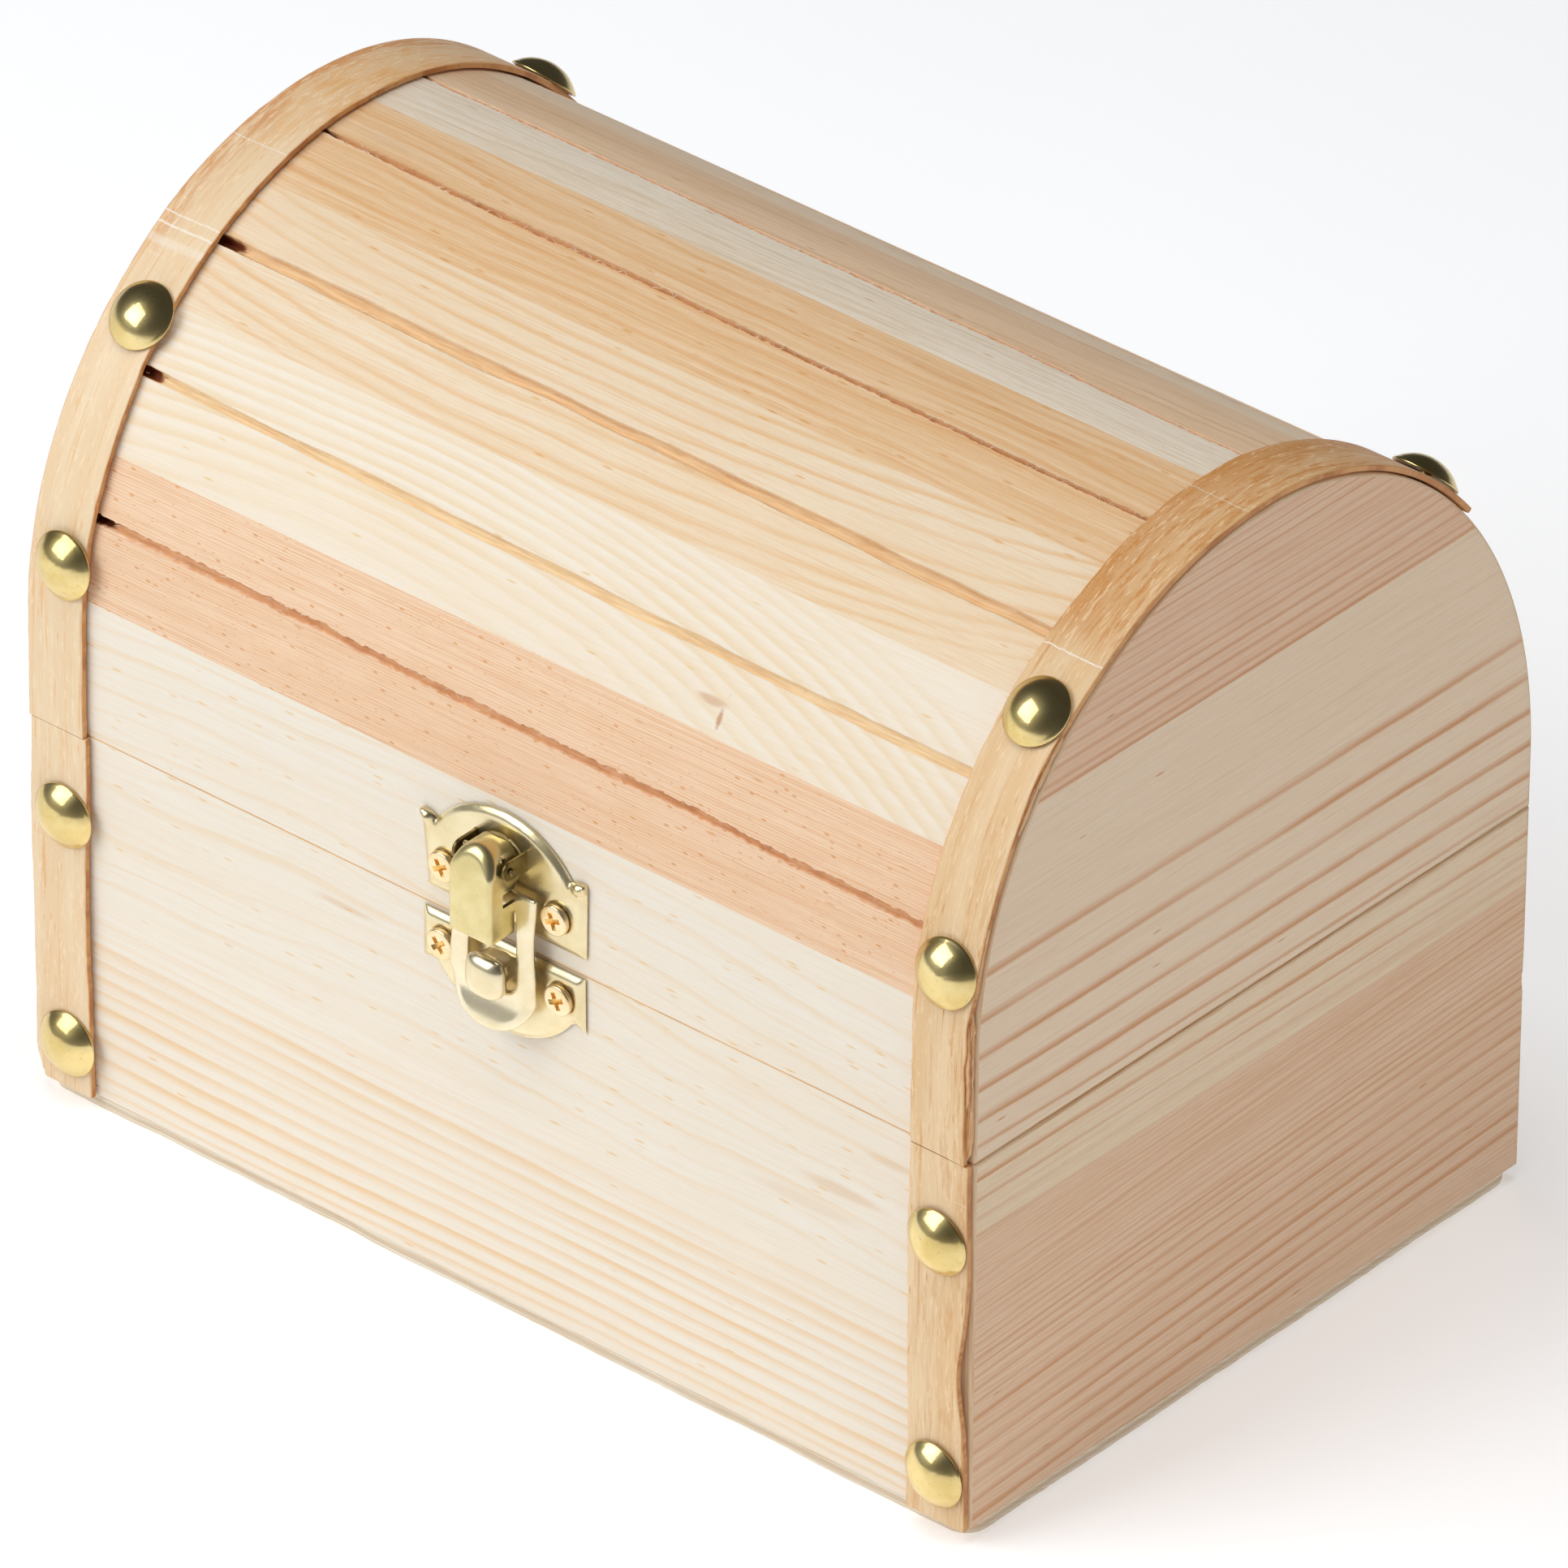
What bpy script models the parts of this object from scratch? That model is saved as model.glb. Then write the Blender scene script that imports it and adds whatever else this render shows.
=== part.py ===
"""Wooden money box: a small pine chest with a domed, slatted lid.

Frame: metres, +Z up, -Y is the front, +X is the box's right seen from the front.
The origin is on the surface the box stands on, at the middle of its bounding box.
"""
import math

import bmesh
import bpy
from mathutils import Matrix, Vector

MM = 0.001

# ---------------------------------------------------------------- driving dimensions (millimetres)
LENGTH = 160.0            # outside length of the box, along X
DEPTH = 110.5             # outside depth of the box, along Y
FLOOR_T = 2.0             # bottom board
SPLIT_Z = 57.9            # height of the joint between box and lid
FIT = 0.3                 # gap kept between touching pieces
END_T = 8.0               # end panels
WALL_T = 6.0              # front and back walls
LID_T = 5.0               # bent lid panel
ARCH_ZF, ARCH_RF = 74.0, 55.0            # front quarter of the dome: circle
ARCH_ZR, ARCH_AR, ARCH_BR = 66.0, 55.5, 63.0   # rear quarter: ellipse, half depth and half height
GROOVE_FIRST, GROOVE_PITCH, GROOVE_COUNT = 15.4, 21.4, 8   # degrees round the dome
GROOVE_W, GROOVE_D = 1.9, 1.3
BAND_W, BAND_LIFT, BAND_T = 9.8, 0.25, 0.9
BAND_END = 137.0          # where the lid band stops, degrees round the dome
NAIL_R, NAIL_H, NAIL_SHANK_R, NAIL_SHANK_L = 4.9, 2.5, 0.8, 11.0
LATCH_X = 1.7             # latch centre, off the middle as on a hand-fitted box
PLATE_LIFT, PLATE_T = 0.25, 0.7
HINGE_X, HINGE_LEAF_W, HINGE_LEAF_H, HINGE_T = 45.0, 22.0, 11.5, 0.8
PIN_OFF = 2.0             # hinge pin axis behind the back wall
KNUCKLE_R, KNUCKLE_BORE, PIN_R = 1.7, 1.0, 0.7
LATCH_FRONT = 7.267         # how far the lever stands in front of the wall

HALF = LENGTH / 2
Y_FRONT = -(DEPTH + PIN_OFF + KNUCKLE_R - LATCH_FRONT) / 2    # centres the bounding box on Y = 0
Y_BACK = Y_FRONT + DEPTH


def arch(deg, off=0.0):
    """Point and outward normal on the dome, 0 degrees at the front spring line, 180 at the rear."""
    a = math.radians(deg)
    if deg <= 90.0:
        n = Vector((-math.cos(a), math.sin(a)))
        p = Vector((ARCH_RF, ARCH_ZF)) + n * ARCH_RF
    else:
        p = Vector((ARCH_RF - ARCH_AR * math.cos(a), ARCH_ZR + ARCH_BR * math.sin(a)))
        n = Vector((-math.cos(a) / ARCH_AR, math.sin(a) / ARCH_BR)).normalized()
    p = p + n * off
    return Vector((p.x + Y_FRONT, p.y)), n


def arch_run(a0, a1, step, off=0.0):
    count = max(2, int(round(abs(a1 - a0) / step)) + 1)
    return [arch(a0 + (a1 - a0) * i / (count - 1), off)[0] for i in range(count)]


# ---------------------------------------------------------------- scene and helpers
for old in list(bpy.data.objects):
    bpy.data.objects.remove(old, do_unlink=True)

parts = bpy.data.collections.new("wooden_money_box")
cutters = bpy.data.collections.new("cutters")
for coll in (parts, cutters):
    bpy.context.scene.collection.children.link(coll)


def material(name, colour, rough, metal):
    m = bpy.data.materials.new(name)
    m.use_nodes = True
    b = m.node_tree.nodes["Principled BSDF"]
    b.inputs["Base Color"].default_value = (*colour, 1.0)
    b.inputs["Roughness"].default_value = rough
    b.inputs["Metallic"].default_value = metal
    return m


PINE = material("pine", (0.80, 0.62, 0.42), 0.6, 0.0)
PINE_END = material("pine_end", (0.70, 0.53, 0.37), 0.6, 0.0)
VENEER = material("veneer", (0.72, 0.47, 0.25), 0.55, 0.0)
PLYWOOD = material("plywood", (0.80, 0.70, 0.55), 0.7, 0.0)
BRASS = material("brass", (0.78, 0.62, 0.30), 0.25, 1.0)
STEEL = material("plated_screw", (0.85, 0.66, 0.36), 0.3, 1.0)


def link(obj, coll, mat):
    coll.objects.link(obj)
    if mat:
        obj.data.materials.clear()
        obj.data.materials.append(mat)
    if coll is cutters:
        obj.hide_render = True
        obj.display_type = "WIRE"
    return obj


# how a flat outline's own axes lie in the box: local x, y, z -> box directions
PLANES = {
    "yz": Matrix(((0, 0, 1, 0), (1, 0, 0, 0), (0, 1, 0, 0), (0, 0, 0, 1))),     # extruded along +X
    "xz": Matrix(((1, 0, 0, 0), (0, 0, -1, 0), (0, 1, 0, 0), (0, 0, 0, 1))),    # extruded along -Y
    "xy": Matrix.Identity(4),                                                   # extruded along +Z
}


def prism(name, loops, plane, lo, hi, mat, coll=parts):
    """A flat outline (first loop outside, others holes) extruded from lo to hi, in millimetres."""
    cu = bpy.data.curves.new(name + "_outline", "CURVE")
    cu.dimensions = "2D"
    cu.fill_mode = "BOTH"
    cu.extrude = (hi - lo) / 2 * MM
    for pts in loops:
        sp = cu.splines.new("POLY")
        sp.points.add(len(pts) - 1)
        for q, p in zip(sp.points, pts):
            q.co = (p[0] * MM, p[1] * MM, 0.0, 1.0)
        sp.use_cyclic_u = True
    tmp = bpy.data.objects.new(name + "_tmp", cu)
    bpy.context.scene.collection.objects.link(tmp)
    tmp.matrix_world = PLANES[plane] @ Matrix.Translation((0, 0, (lo + hi) / 2 * MM))
    bpy.context.view_layer.update()
    dg = bpy.context.evaluated_depsgraph_get()
    me = bpy.data.meshes.new_from_object(tmp.evaluated_get(dg))
    me.name = name
    me.transform(tmp.matrix_world)
    bpy.data.objects.remove(tmp, do_unlink=True)
    bm = bmesh.new()
    bm.from_mesh(me)
    bmesh.ops.remove_doubles(bm, verts=bm.verts, dist=2e-6)
    bmesh.ops.dissolve_limit(bm, angle_limit=math.radians(0.5), verts=bm.verts, edges=bm.edges)
    bmesh.ops.recalc_face_normals(bm, faces=bm.faces)
    bm.to_mesh(me)
    bm.free()
    return link(bpy.data.objects.new(name, me), coll, mat)


def block(name, x0, x1, y0, y1, z0, z1, mat, coll=parts):
    bm = bmesh.new()
    bmesh.ops.create_cube(bm, size=1.0)
    bmesh.ops.scale(bm, vec=((x1 - x0) * MM, (y1 - y0) * MM, (z1 - z0) * MM), verts=bm.verts)
    bmesh.ops.translate(bm, vec=((x0 + x1) / 2 * MM, (y0 + y1) / 2 * MM, (z0 + z1) / 2 * MM), verts=bm.verts)
    me = bpy.data.meshes.new(name)
    bm.to_mesh(me)
    bm.free()
    return link(bpy.data.objects.new(name, me), coll, mat)


def rod(name, p0, p1, r, seg, mat, coll=parts):
    """Closed cylinder between two points, in millimetres."""
    a, b = Vector(p0), Vector(p1)
    bm = bmesh.new()
    bmesh.ops.create_cone(bm, cap_ends=True, segments=seg, radius1=r * MM, radius2=r * MM, depth=(b - a).length * MM)
    rot = Vector((0, 0, 1)).rotation_difference((b - a).normalized()).to_matrix().to_4x4()
    bm.transform(Matrix.Translation((a + b) / 2 * MM) @ rot)
    me = bpy.data.meshes.new(name)
    bm.to_mesh(me)
    bm.free()
    return link(bpy.data.objects.new(name, me), coll, mat)


def boolean(obj, tool, op="DIFFERENCE"):
    mod = obj.modifiers.new(tool.name, "BOOLEAN")
    mod.operation = op
    mod.object = tool
    mod.solver = "EXACT"
    return mod


def soften(obj, width, limit=40.0):
    mod = obj.modifiers.new("edges", "BEVEL")
    mod.width = width * MM
    mod.segments = 1
    mod.limit_method = "ANGLE"
    mod.angle_limit = math.radians(limit)
    return mod


def turned(name, profile, seg, loc, direction, mat):
    """Solid of revolution: profile (radius, height) from the top of the axis, down the outside, back to the axis."""
    me = bpy.data.meshes.new(name)
    bm = bmesh.new()
    vs = [bm.verts.new((r * MM, 0.0, h * MM)) for r, h in profile]
    for a, b in zip(vs, vs[1:]):
        bm.edges.new((a, b))
    bm.to_mesh(me)
    bm.free()
    obj = link(bpy.data.objects.new(name, me), parts, mat)
    mod = obj.modifiers.new("turn", "SCREW")
    mod.axis = "Z"
    mod.angle = math.radians(360)
    mod.steps = seg
    mod.render_steps = seg
    mod.use_merge_vertices = True
    mod.merge_threshold = 1e-5
    mod.use_smooth_shade = True
    obj.location = Vector(loc) * MM
    obj.rotation_mode = "QUATERNION"
    obj.rotation_quaternion = Vector((0, 0, 1)).rotation_difference(Vector(direction).normalized())
    return obj


# ---------------------------------------------------------------- nail places: name, x, point on the wood, normal
def front_spot(z):
    return Vector((Y_FRONT, z)), Vector((-1.0, 0.0))


NAILS = {"base": [], "lid": []}
for side, x, low, mid, rear in (("left", -73.8, 9.1, 44.5, 131.5), ("right", 75.1, 11.0, 47.0, 131.5)):
    NAILS["base"] += [("nail_base_%s_lower" % side, side, x) + front_spot(9.4),
                      ("nail_base_%s_upper" % side, side, x) + front_spot(44.9)]
    NAILS["lid"] += [("nail_lid_%s_front" % side, side, x) + arch(low),
                     ("nail_lid_%s_middle" % side, side, x) + arch(mid),
                     ("nail_lid_%s_rear" % side, side, x) + arch(rear)]


def nail_profile():
    sphere = (NAIL_R ** 2 + NAIL_H ** 2) / (2 * NAIL_H)
    top = []
    for i in range(6):
        a = math.asin(NAIL_R / sphere) * i / 5
        top.append((sphere * math.sin(a), NAIL_H - sphere + sphere * math.cos(a)))
    top[-1] = (NAIL_R, 0.3)
    return top + [(NAIL_R, 0.0), (NAIL_SHANK_R, 0.0), (NAIL_SHANK_R, -NAIL_SHANK_L + 1.5), (0.0, -NAIL_SHANK_L)]


def shank_cutter(name, x, p, n, deep, r=1.1):
    a = Vector((x, p.x + n.x * 3, p.y + n.y * 3))
    b = Vector((x, p.x - n.x * deep, p.y - n.y * deep))
    return rod("cut_" + name, b, a, r, 12, None, cutters)


# ---------------------------------------------------------------- box body
z0, z1 = FLOOR_T + 0.0, SPLIT_Z - FIT / 2
floor_gap = 0.25
wall_x = HALF - END_T - FIT

base_front = block("base_front_wall", -wall_x, wall_x, Y_FRONT, Y_FRONT + WALL_T, z0 + floor_gap, z1, PINE)
base_back = block("base_back_wall", -wall_x, wall_x, Y_BACK - WALL_T, Y_BACK, z0 + floor_gap, z1, PINE)
base_left = block("base_left_end", -HALF, -HALF + END_T, Y_FRONT, Y_BACK, z0 + floor_gap, z1, PINE_END)
base_right = block("base_right_end", HALF - END_T, HALF, Y_FRONT, Y_BACK, z0 + floor_gap, z1, PINE_END)


def rounded_rect(x0, x1, y0, y1, r, seg=4):
    pts = []
    for cx, cy, a0 in ((x1 - r, y0 + r, -90), (x1 - r, y1 - r, 0), (x0 + r, y1 - r, 90), (x0 + r, y0 + r, 180)):
        for i in range(seg + 1):
            a = math.radians(a0 + 90 * i / seg)
            pts.append((cx + r * math.cos(a), cy + r * math.sin(a)))
    return pts


base_bottom = prism("base_bottom", [rounded_rect(-HALF + 0.5, HALF - 0.5, Y_FRONT + 0.5, Y_BACK - 0.5, 4.0)],
                    "xy", 0.0, FLOOR_T, PLYWOOD)

# a small split has broken out of the right end's rear edge
chip = rod("cut_chip", (HALF + 0.9, Y_BACK + 0.9, 29.0), (HALF + 0.5, Y_BACK + 0.7, 35.5), 1.5, 5, None, cutters)
boolean(base_right, chip)

# ---------------------------------------------------------------- lid panel: bent board with grooves across the bend
lz = SPLIT_Z + FIT / 2
outer = [Vector((Y_FRONT, lz)), Vector((Y_FRONT, ARCH_ZF - 4.0))]
marks = [GROOVE_FIRST + GROOVE_PITCH * i for i in range(GROOVE_COUNT)]
half_w = math.degrees(GROOVE_W / 2 / ARCH_RF)
edges = [0.0] + [m for g in marks for m in (g - half_w, g + half_w)] + [180.0]
for i in range(0, len(edges), 2):
    a, b = edges[i], edges[i + 1]
    if b - a > 0.5:
        outer += arch_run(a, b, 4.2)
    if i + 1 < len(edges) - 1:
        g = (edges[i + 1] + edges[i + 2]) / 2
        outer += [arch(g - half_w * 0.45, -GROOVE_D)[0], arch(g + half_w * 0.45, -GROOVE_D)[0]]
outer += [Vector((Y_BACK, ARCH_ZR - 4.0)), Vector((Y_BACK, lz))]
inner = [Vector((Y_BACK - LID_T, lz))] + arch_run(180.0, 0.0, 6.0, -LID_T) + [Vector((Y_FRONT + LID_T, lz))]
lid_panel = prism("lid_panel", [outer + inner], "yz", -wall_x, wall_x, PINE)


def arch_outline(off=0.0):
    run = arch_run(0.0, 180.0, 4.5, off)
    return [Vector((Y_FRONT - off, lz))] + run + [Vector((Y_BACK + off, lz))]


lid_left = prism("lid_left_end", [arch_outline()], "yz", -HALF, -HALF + END_T, PINE_END)
lid_right = prism("lid_right_end", [arch_outline()], "yz", HALF - END_T, HALF, PINE_END)

# ---------------------------------------------------------------- veneer bands
bands = {}
for side, x0, x1 in (("left", -HALF, -HALF + BAND_W), ("right", HALF - BAND_W, HALF)):
    bands["base", side] = block("band_base_" + side, x0, x1, Y_FRONT - BAND_LIFT - BAND_T, Y_FRONT - BAND_LIFT,
                                z0 + floor_gap, z1, VENEER)
    top = BAND_LIFT + BAND_T
    strip = ([Vector((Y_FRONT - top, lz))] + arch_run(0.0, BAND_END, 4.5, top)
             + arch_run(BAND_END, 0.0, 4.5, BAND_LIFT) + [Vector((Y_FRONT - BAND_LIFT, lz))])
    bands["lid", side] = prism("band_lid_" + side, [strip], "yz", x0, x1, VENEER)

ends = {("base", "left"): base_left, ("base", "right"): base_right,
        ("lid", "left"): lid_left, ("lid", "right"): lid_right}
head_lift = BAND_LIFT + BAND_T + 0.3
for body, group in NAILS.items():
    for name, side, x, p, n in group:
        cut = shank_cutter(name, x, p, n, NAIL_SHANK_L)
        boolean(ends[body, side], cut)
        boolean(bands[body, side], cut)
        q = p + n * head_lift
        turned(name, nail_profile(), 18, (x, q.x, q.y), (0.0, n.x, n.y), BRASS)

# ---------------------------------------------------------------- latch
LX = LATCH_X
PIVOT = (Y_FRONT - 4.1, 71.9)          # lever pivot, (y, z)
BAIL_PIN = (Y_FRONT - 4.25, 73.09)     # the bail's ears turn in the lever here, just past the lever pivot
LUG_R, LUG_HOLE, RIVET_R, EAR_R, EAR_HOLE = 1.4, 0.8, 0.5, 0.42, 0.62
plate_o0, plate_o1 = PLATE_LIFT, PLATE_LIFT + PLATE_T


def o2y(o):
    """Distance in front of the wall -> Y."""
    return Y_FRONT - o


def circle(cx, cy, r, seg, start=0.0):
    return [(cx + r * math.cos(2 * math.pi * (i + 0.5) / seg + start), cy + r * math.sin(2 * math.pi * (i + 0.5) / seg + start))
            for i in range(seg)]


def sagitta_run(half_chord, rise, z, seg, up=True):
    """Arc from the right end of a chord to the left end, bulging up or down."""
    r = (half_chord ** 2 + rise ** 2) / (2 * rise)
    half = math.asin(half_chord / r)
    s = 1 if up else -1
    pts = []
    for i in range(seg + 1):
        a = half - 2 * half * i / seg
        pts.append((LX + r * math.sin(a), z + s * (r * math.cos(a) - (r - rise))))
    return pts


def wall_prism(name, loops, o0, o1, mat, coll=parts):
    """Outline in (x, z) extruded from o0 to o1 in front of the wall."""
    return prism(name, loops, "xz", -(o2y(o0)), -(o2y(o1)), mat, coll)


UP_SCREWS = ((LX - 9.6, 65.4), (LX + 9.5, 65.5))
LOW_SCREWS = ((LX - 9.9, 53.5), (LX + 10.1, 53.6))
upper = ([(LX - 13.9, 60.8), (LX + 13.9, 60.8), (LX + 14.0, 71.5)] + [(LX + 11.9, 71.5)]
         + sagitta_run(11.3, 5.9, 71.4, 18) + [(LX - 11.9, 71.5), (LX - 14.0, 71.5)])
slot = [(LX - 3.6, 70.5), (LX + 3.6, 70.5), (LX + 3.6, 73.4), (LX - 3.6, 73.4)]
plate_up = wall_prism("latch_upper_plate", [upper, slot] + [circle(x, z, 1.2, 12) for x, z in UP_SCREWS],
                      plate_o0, plate_o1, BRASS)
soften(plate_up, 0.25, 60)
for s in (-1, 1):
    xa, xb = sorted((LX + s * 3.9, LX + s * 4.45))
    lug_pts = [(o2y(plate_o0 + 0.2), PIVOT[1] - LUG_R), (o2y(plate_o0 + 0.2), PIVOT[1] + LUG_R)]
    ring = []
    for i in range(13):
        a = math.radians(90 + 180 * i / 12)
        ring.append((PIVOT[0] + LUG_R * math.cos(a), PIVOT[1] + LUG_R * math.sin(a)))
    lug = prism("lug_%s" % ("left" if s < 0 else "right"), [lug_pts + ring, circle(*PIVOT, LUG_HOLE, 12)],
                "yz", xa, xb, None, cutters)
    boolean(plate_up, lug, "UNION")

lower = ([(LX + 13.6, 57.7), (LX - 13.6, 57.7), (LX - 13.6, 50.1), (LX - 11.9, 50.0)]
         + list(reversed(sagitta_run(11.3, 5.8, 49.8, 18, up=False))) + [(LX + 11.9, 50.0), (LX + 13.6, 50.1)])
keeper = wall_prism("latch_keeper_plate", [lower] + [circle(x, z, 1.2, 12) for x, z in LOW_SCREWS],
                    plate_o0, plate_o1, BRASS)
soften(keeper, 0.25, 60)
# the hook: a boss out of the plate, turned down in front of the bail
hook_top, hook_under, lip_z = 57.3, 52.5, 51.4
hook_pts = [(o2y(0.6), hook_top), (o2y(0.6), hook_under), (o2y(3.62), hook_under), (o2y(3.62), lip_z + 0.25),
            (o2y(3.85), lip_z), (o2y(4.3), lip_z + 0.1)]
for i in range(7):
    a = math.radians(0 + 90 * i / 6)
    hook_pts.append((o2y(3.2 + 1.5 * math.cos(a)), hook_top - 1.5 + 1.5 * math.sin(a)))
hook = prism("hook", [hook_pts], "yz", LX - 3.2, LX + 3.2, None, cutters)
boolean(keeper, hook, "UNION")

# lever: a pressed channel, open at the back and the bottom, rounded at the top
LEVER_W, LEVER_T, LEVER_R = 3.6, 0.7, 2.85


def lever_side(inset):
    """Side view of the lever; inset shrinks it to the hollow inside, which runs out of the back."""
    r = LEVER_R - min(inset, 0.5)
    pts = []
    if inset:
        pts += [(o2y(-2.0), 60.0), (o2y(-2.0), PIVOT[1] + r)]
        a0 = 90
    else:
        pts += [(o2y(3.6), 61.9), (o2y(3.0), 69.4)]
        a0 = -20
    for i in range(13):
        a = math.radians(a0 + (180 - a0) * i / 12)
        pts.append((PIVOT[0] + r * math.cos(a), PIVOT[1] + r * math.sin(a)))
    pts.append((o2y(7.3 - inset), 61.4 if not inset else 60.0))
    return pts


lever = prism("latch_lever", [lever_side(0.0)], "yz", LX - LEVER_W, LX + LEVER_W, BRASS)
soften(lever, 0.35, 50)
rr = 2.2
top_z = PIVOT[1] + LEVER_R
front_view = [(LX - LEVER_W - 1, 58.0), (LX + LEVER_W + 1, 58.0), (LX + LEVER_W + 1, top_z - rr)]
for i in range(9):
    a = math.radians(90 * i / 8)
    front_view.append((LX + LEVER_W - rr + rr * math.cos(a), top_z - rr + rr * math.sin(a) + 0.02))
for i in range(9):
    a = math.radians(90 + 90 * i / 8)
    front_view.append((LX - LEVER_W + rr + rr * math.cos(a), top_z - rr + rr * math.sin(a) + 0.02))
front_view.append((LX - LEVER_W - 1, top_z - rr))
boolean(lever, wall_prism("lever_front_view", [front_view], -1.0, 9.0, None, cutters), "INTERSECT")
boolean(lever, prism("lever_hollow", [lever_side(LEVER_T)], "yz", LX - LEVER_W + LEVER_T, LX + LEVER_W - LEVER_T,
                     None, cutters))
boolean(lever, block("lever_tail_slot", LX - 1.85, LX + 1.85, PIVOT[0] - 0.35, o2y(-1.0), 66.0, 76.0, None, cutters))
boolean(lever, block("lever_window", LX - 5, LX + 5, o2y(4.9), o2y(2.0), 64.6, 68.6, None, cutters))
boolean(lever, rod("lever_rivet_holes", (LX - 5, *PIVOT), (LX + 5, *PIVOT), LUG_HOLE, 12, None, cutters))
boolean(lever, rod("lever_bail_holes", (LX - 5, *BAIL_PIN), (LX + 5, *BAIL_PIN), EAR_HOLE, 10, None, cutters))
lever_pivot = bpy.data.objects.new("lever_pivot_axis", None)
parts.objects.link(lever_pivot)
lever_pivot.location = (LX * MM, PIVOT[0] * MM, PIVOT[1] * MM)

for s, side in ((-1, "left"), (1, "right")):
    a, b = LX + s * 2.4, LX + s * 4.8
    rod("lever_rivet_" + side, (min(a, b), *PIVOT), (max(a, b), *PIVOT), RIVET_R, 12, BRASS)

# bail: a flat ring round the hook, with a cranked tail up to its pin inside the lever
BAIL_T, BAIL_W, ARM_W = 0.8, 7.3, 3.6
bail_top, bail_bottom, bar_top = 67.8, 46.2, 52.1
bo = 2.7                              # front face of the ring, in front of the wall, at its top
ring_out = [(LX + BAIL_W - 0.6, bail_top), (LX - BAIL_W + 0.6, bail_top), (LX - BAIL_W, bail_top - 0.6)]
for i in range(17):
    a = math.radians(180 + 180 * i / 16)
    ring_out.append((LX + BAIL_W * math.cos(a), bail_bottom + 7.0 + 7.0 * math.sin(a)))
ring_out.append((LX + BAIL_W, bail_top - 0.6))
hole_w = BAIL_W - ARM_W
ring_in = rounded_rect(LX - hole_w, LX + hole_w, bar_top, bail_top - 2.9, 0.7, 3)
bail = wall_prism("latch_bail", [ring_out, ring_in], bo - BAIL_T, bo, BRASS)
tilt = math.radians(1.0)
hinge_line = Matrix.Translation((0, o2y(bo) * MM, bail_top * MM))
bail.data.transform(hinge_line @ Matrix.Rotation(tilt, 4, "X") @ hinge_line.inverted())
soften(bail, 0.15, 60)
# tail, side view: up from the ring's top bar, out inside the lever, to the ears that turn in the lever
tail = [(o2y(bo - 0.12), 66.6), (o2y(bo - 0.68), 66.6), (o2y(bo - 0.68), 69.4)]
for i in range(9):
    a = math.radians(-10 + 200 * i / 8)
    tail.append((BAIL_PIN[0] + 0.6 * math.cos(a), BAIL_PIN[1] + 0.6 * math.sin(a)))
tail += [(o2y(bo - 0.12), 69.2)]
boolean(bail, prism("bail_tail", [tail], "yz", LX - 1.5, LX + 1.5, None, cutters), "UNION")
boolean(bail, rod("bail_ears", (LX - 3.35, *BAIL_PIN), (LX + 3.35, *BAIL_PIN), EAR_R, 10, None, cutters), "UNION")

# screws of the latch plates
SCREW_PROFILE = [(0.0, 0.95), (1.5, 0.9), (2.05, 0.62), (2.2, 0.0), (0.9, 0.0), (0.9, -4.6), (0.0, -5.4)]


def screw(name, x, y, z, direction, wall, profile, deep):
    d = Vector(direction)
    head = Vector((x, y, z))
    cut = rod("cut_" + name, head - d * deep, head + d * 1.0, 1.2, 12, None, cutters)
    boolean(wall, cut)
    return turned(name, profile, 14, head, direction, STEEL)


for (x, z), side in zip(UP_SCREWS, ("left", "right")):
    screw("latch_upper_screw_" + side, x, o2y(plate_o1 + 0.25), z, (0, -1, 0), lid_panel, SCREW_PROFILE, 5.8)
for (x, z), side in zip(LOW_SCREWS, ("left", "right")):
    screw("latch_keeper_screw_" + side, x, o2y(plate_o1 + 0.25), z, (0, -1, 0), base_front, SCREW_PROFILE, 6.2)

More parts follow.
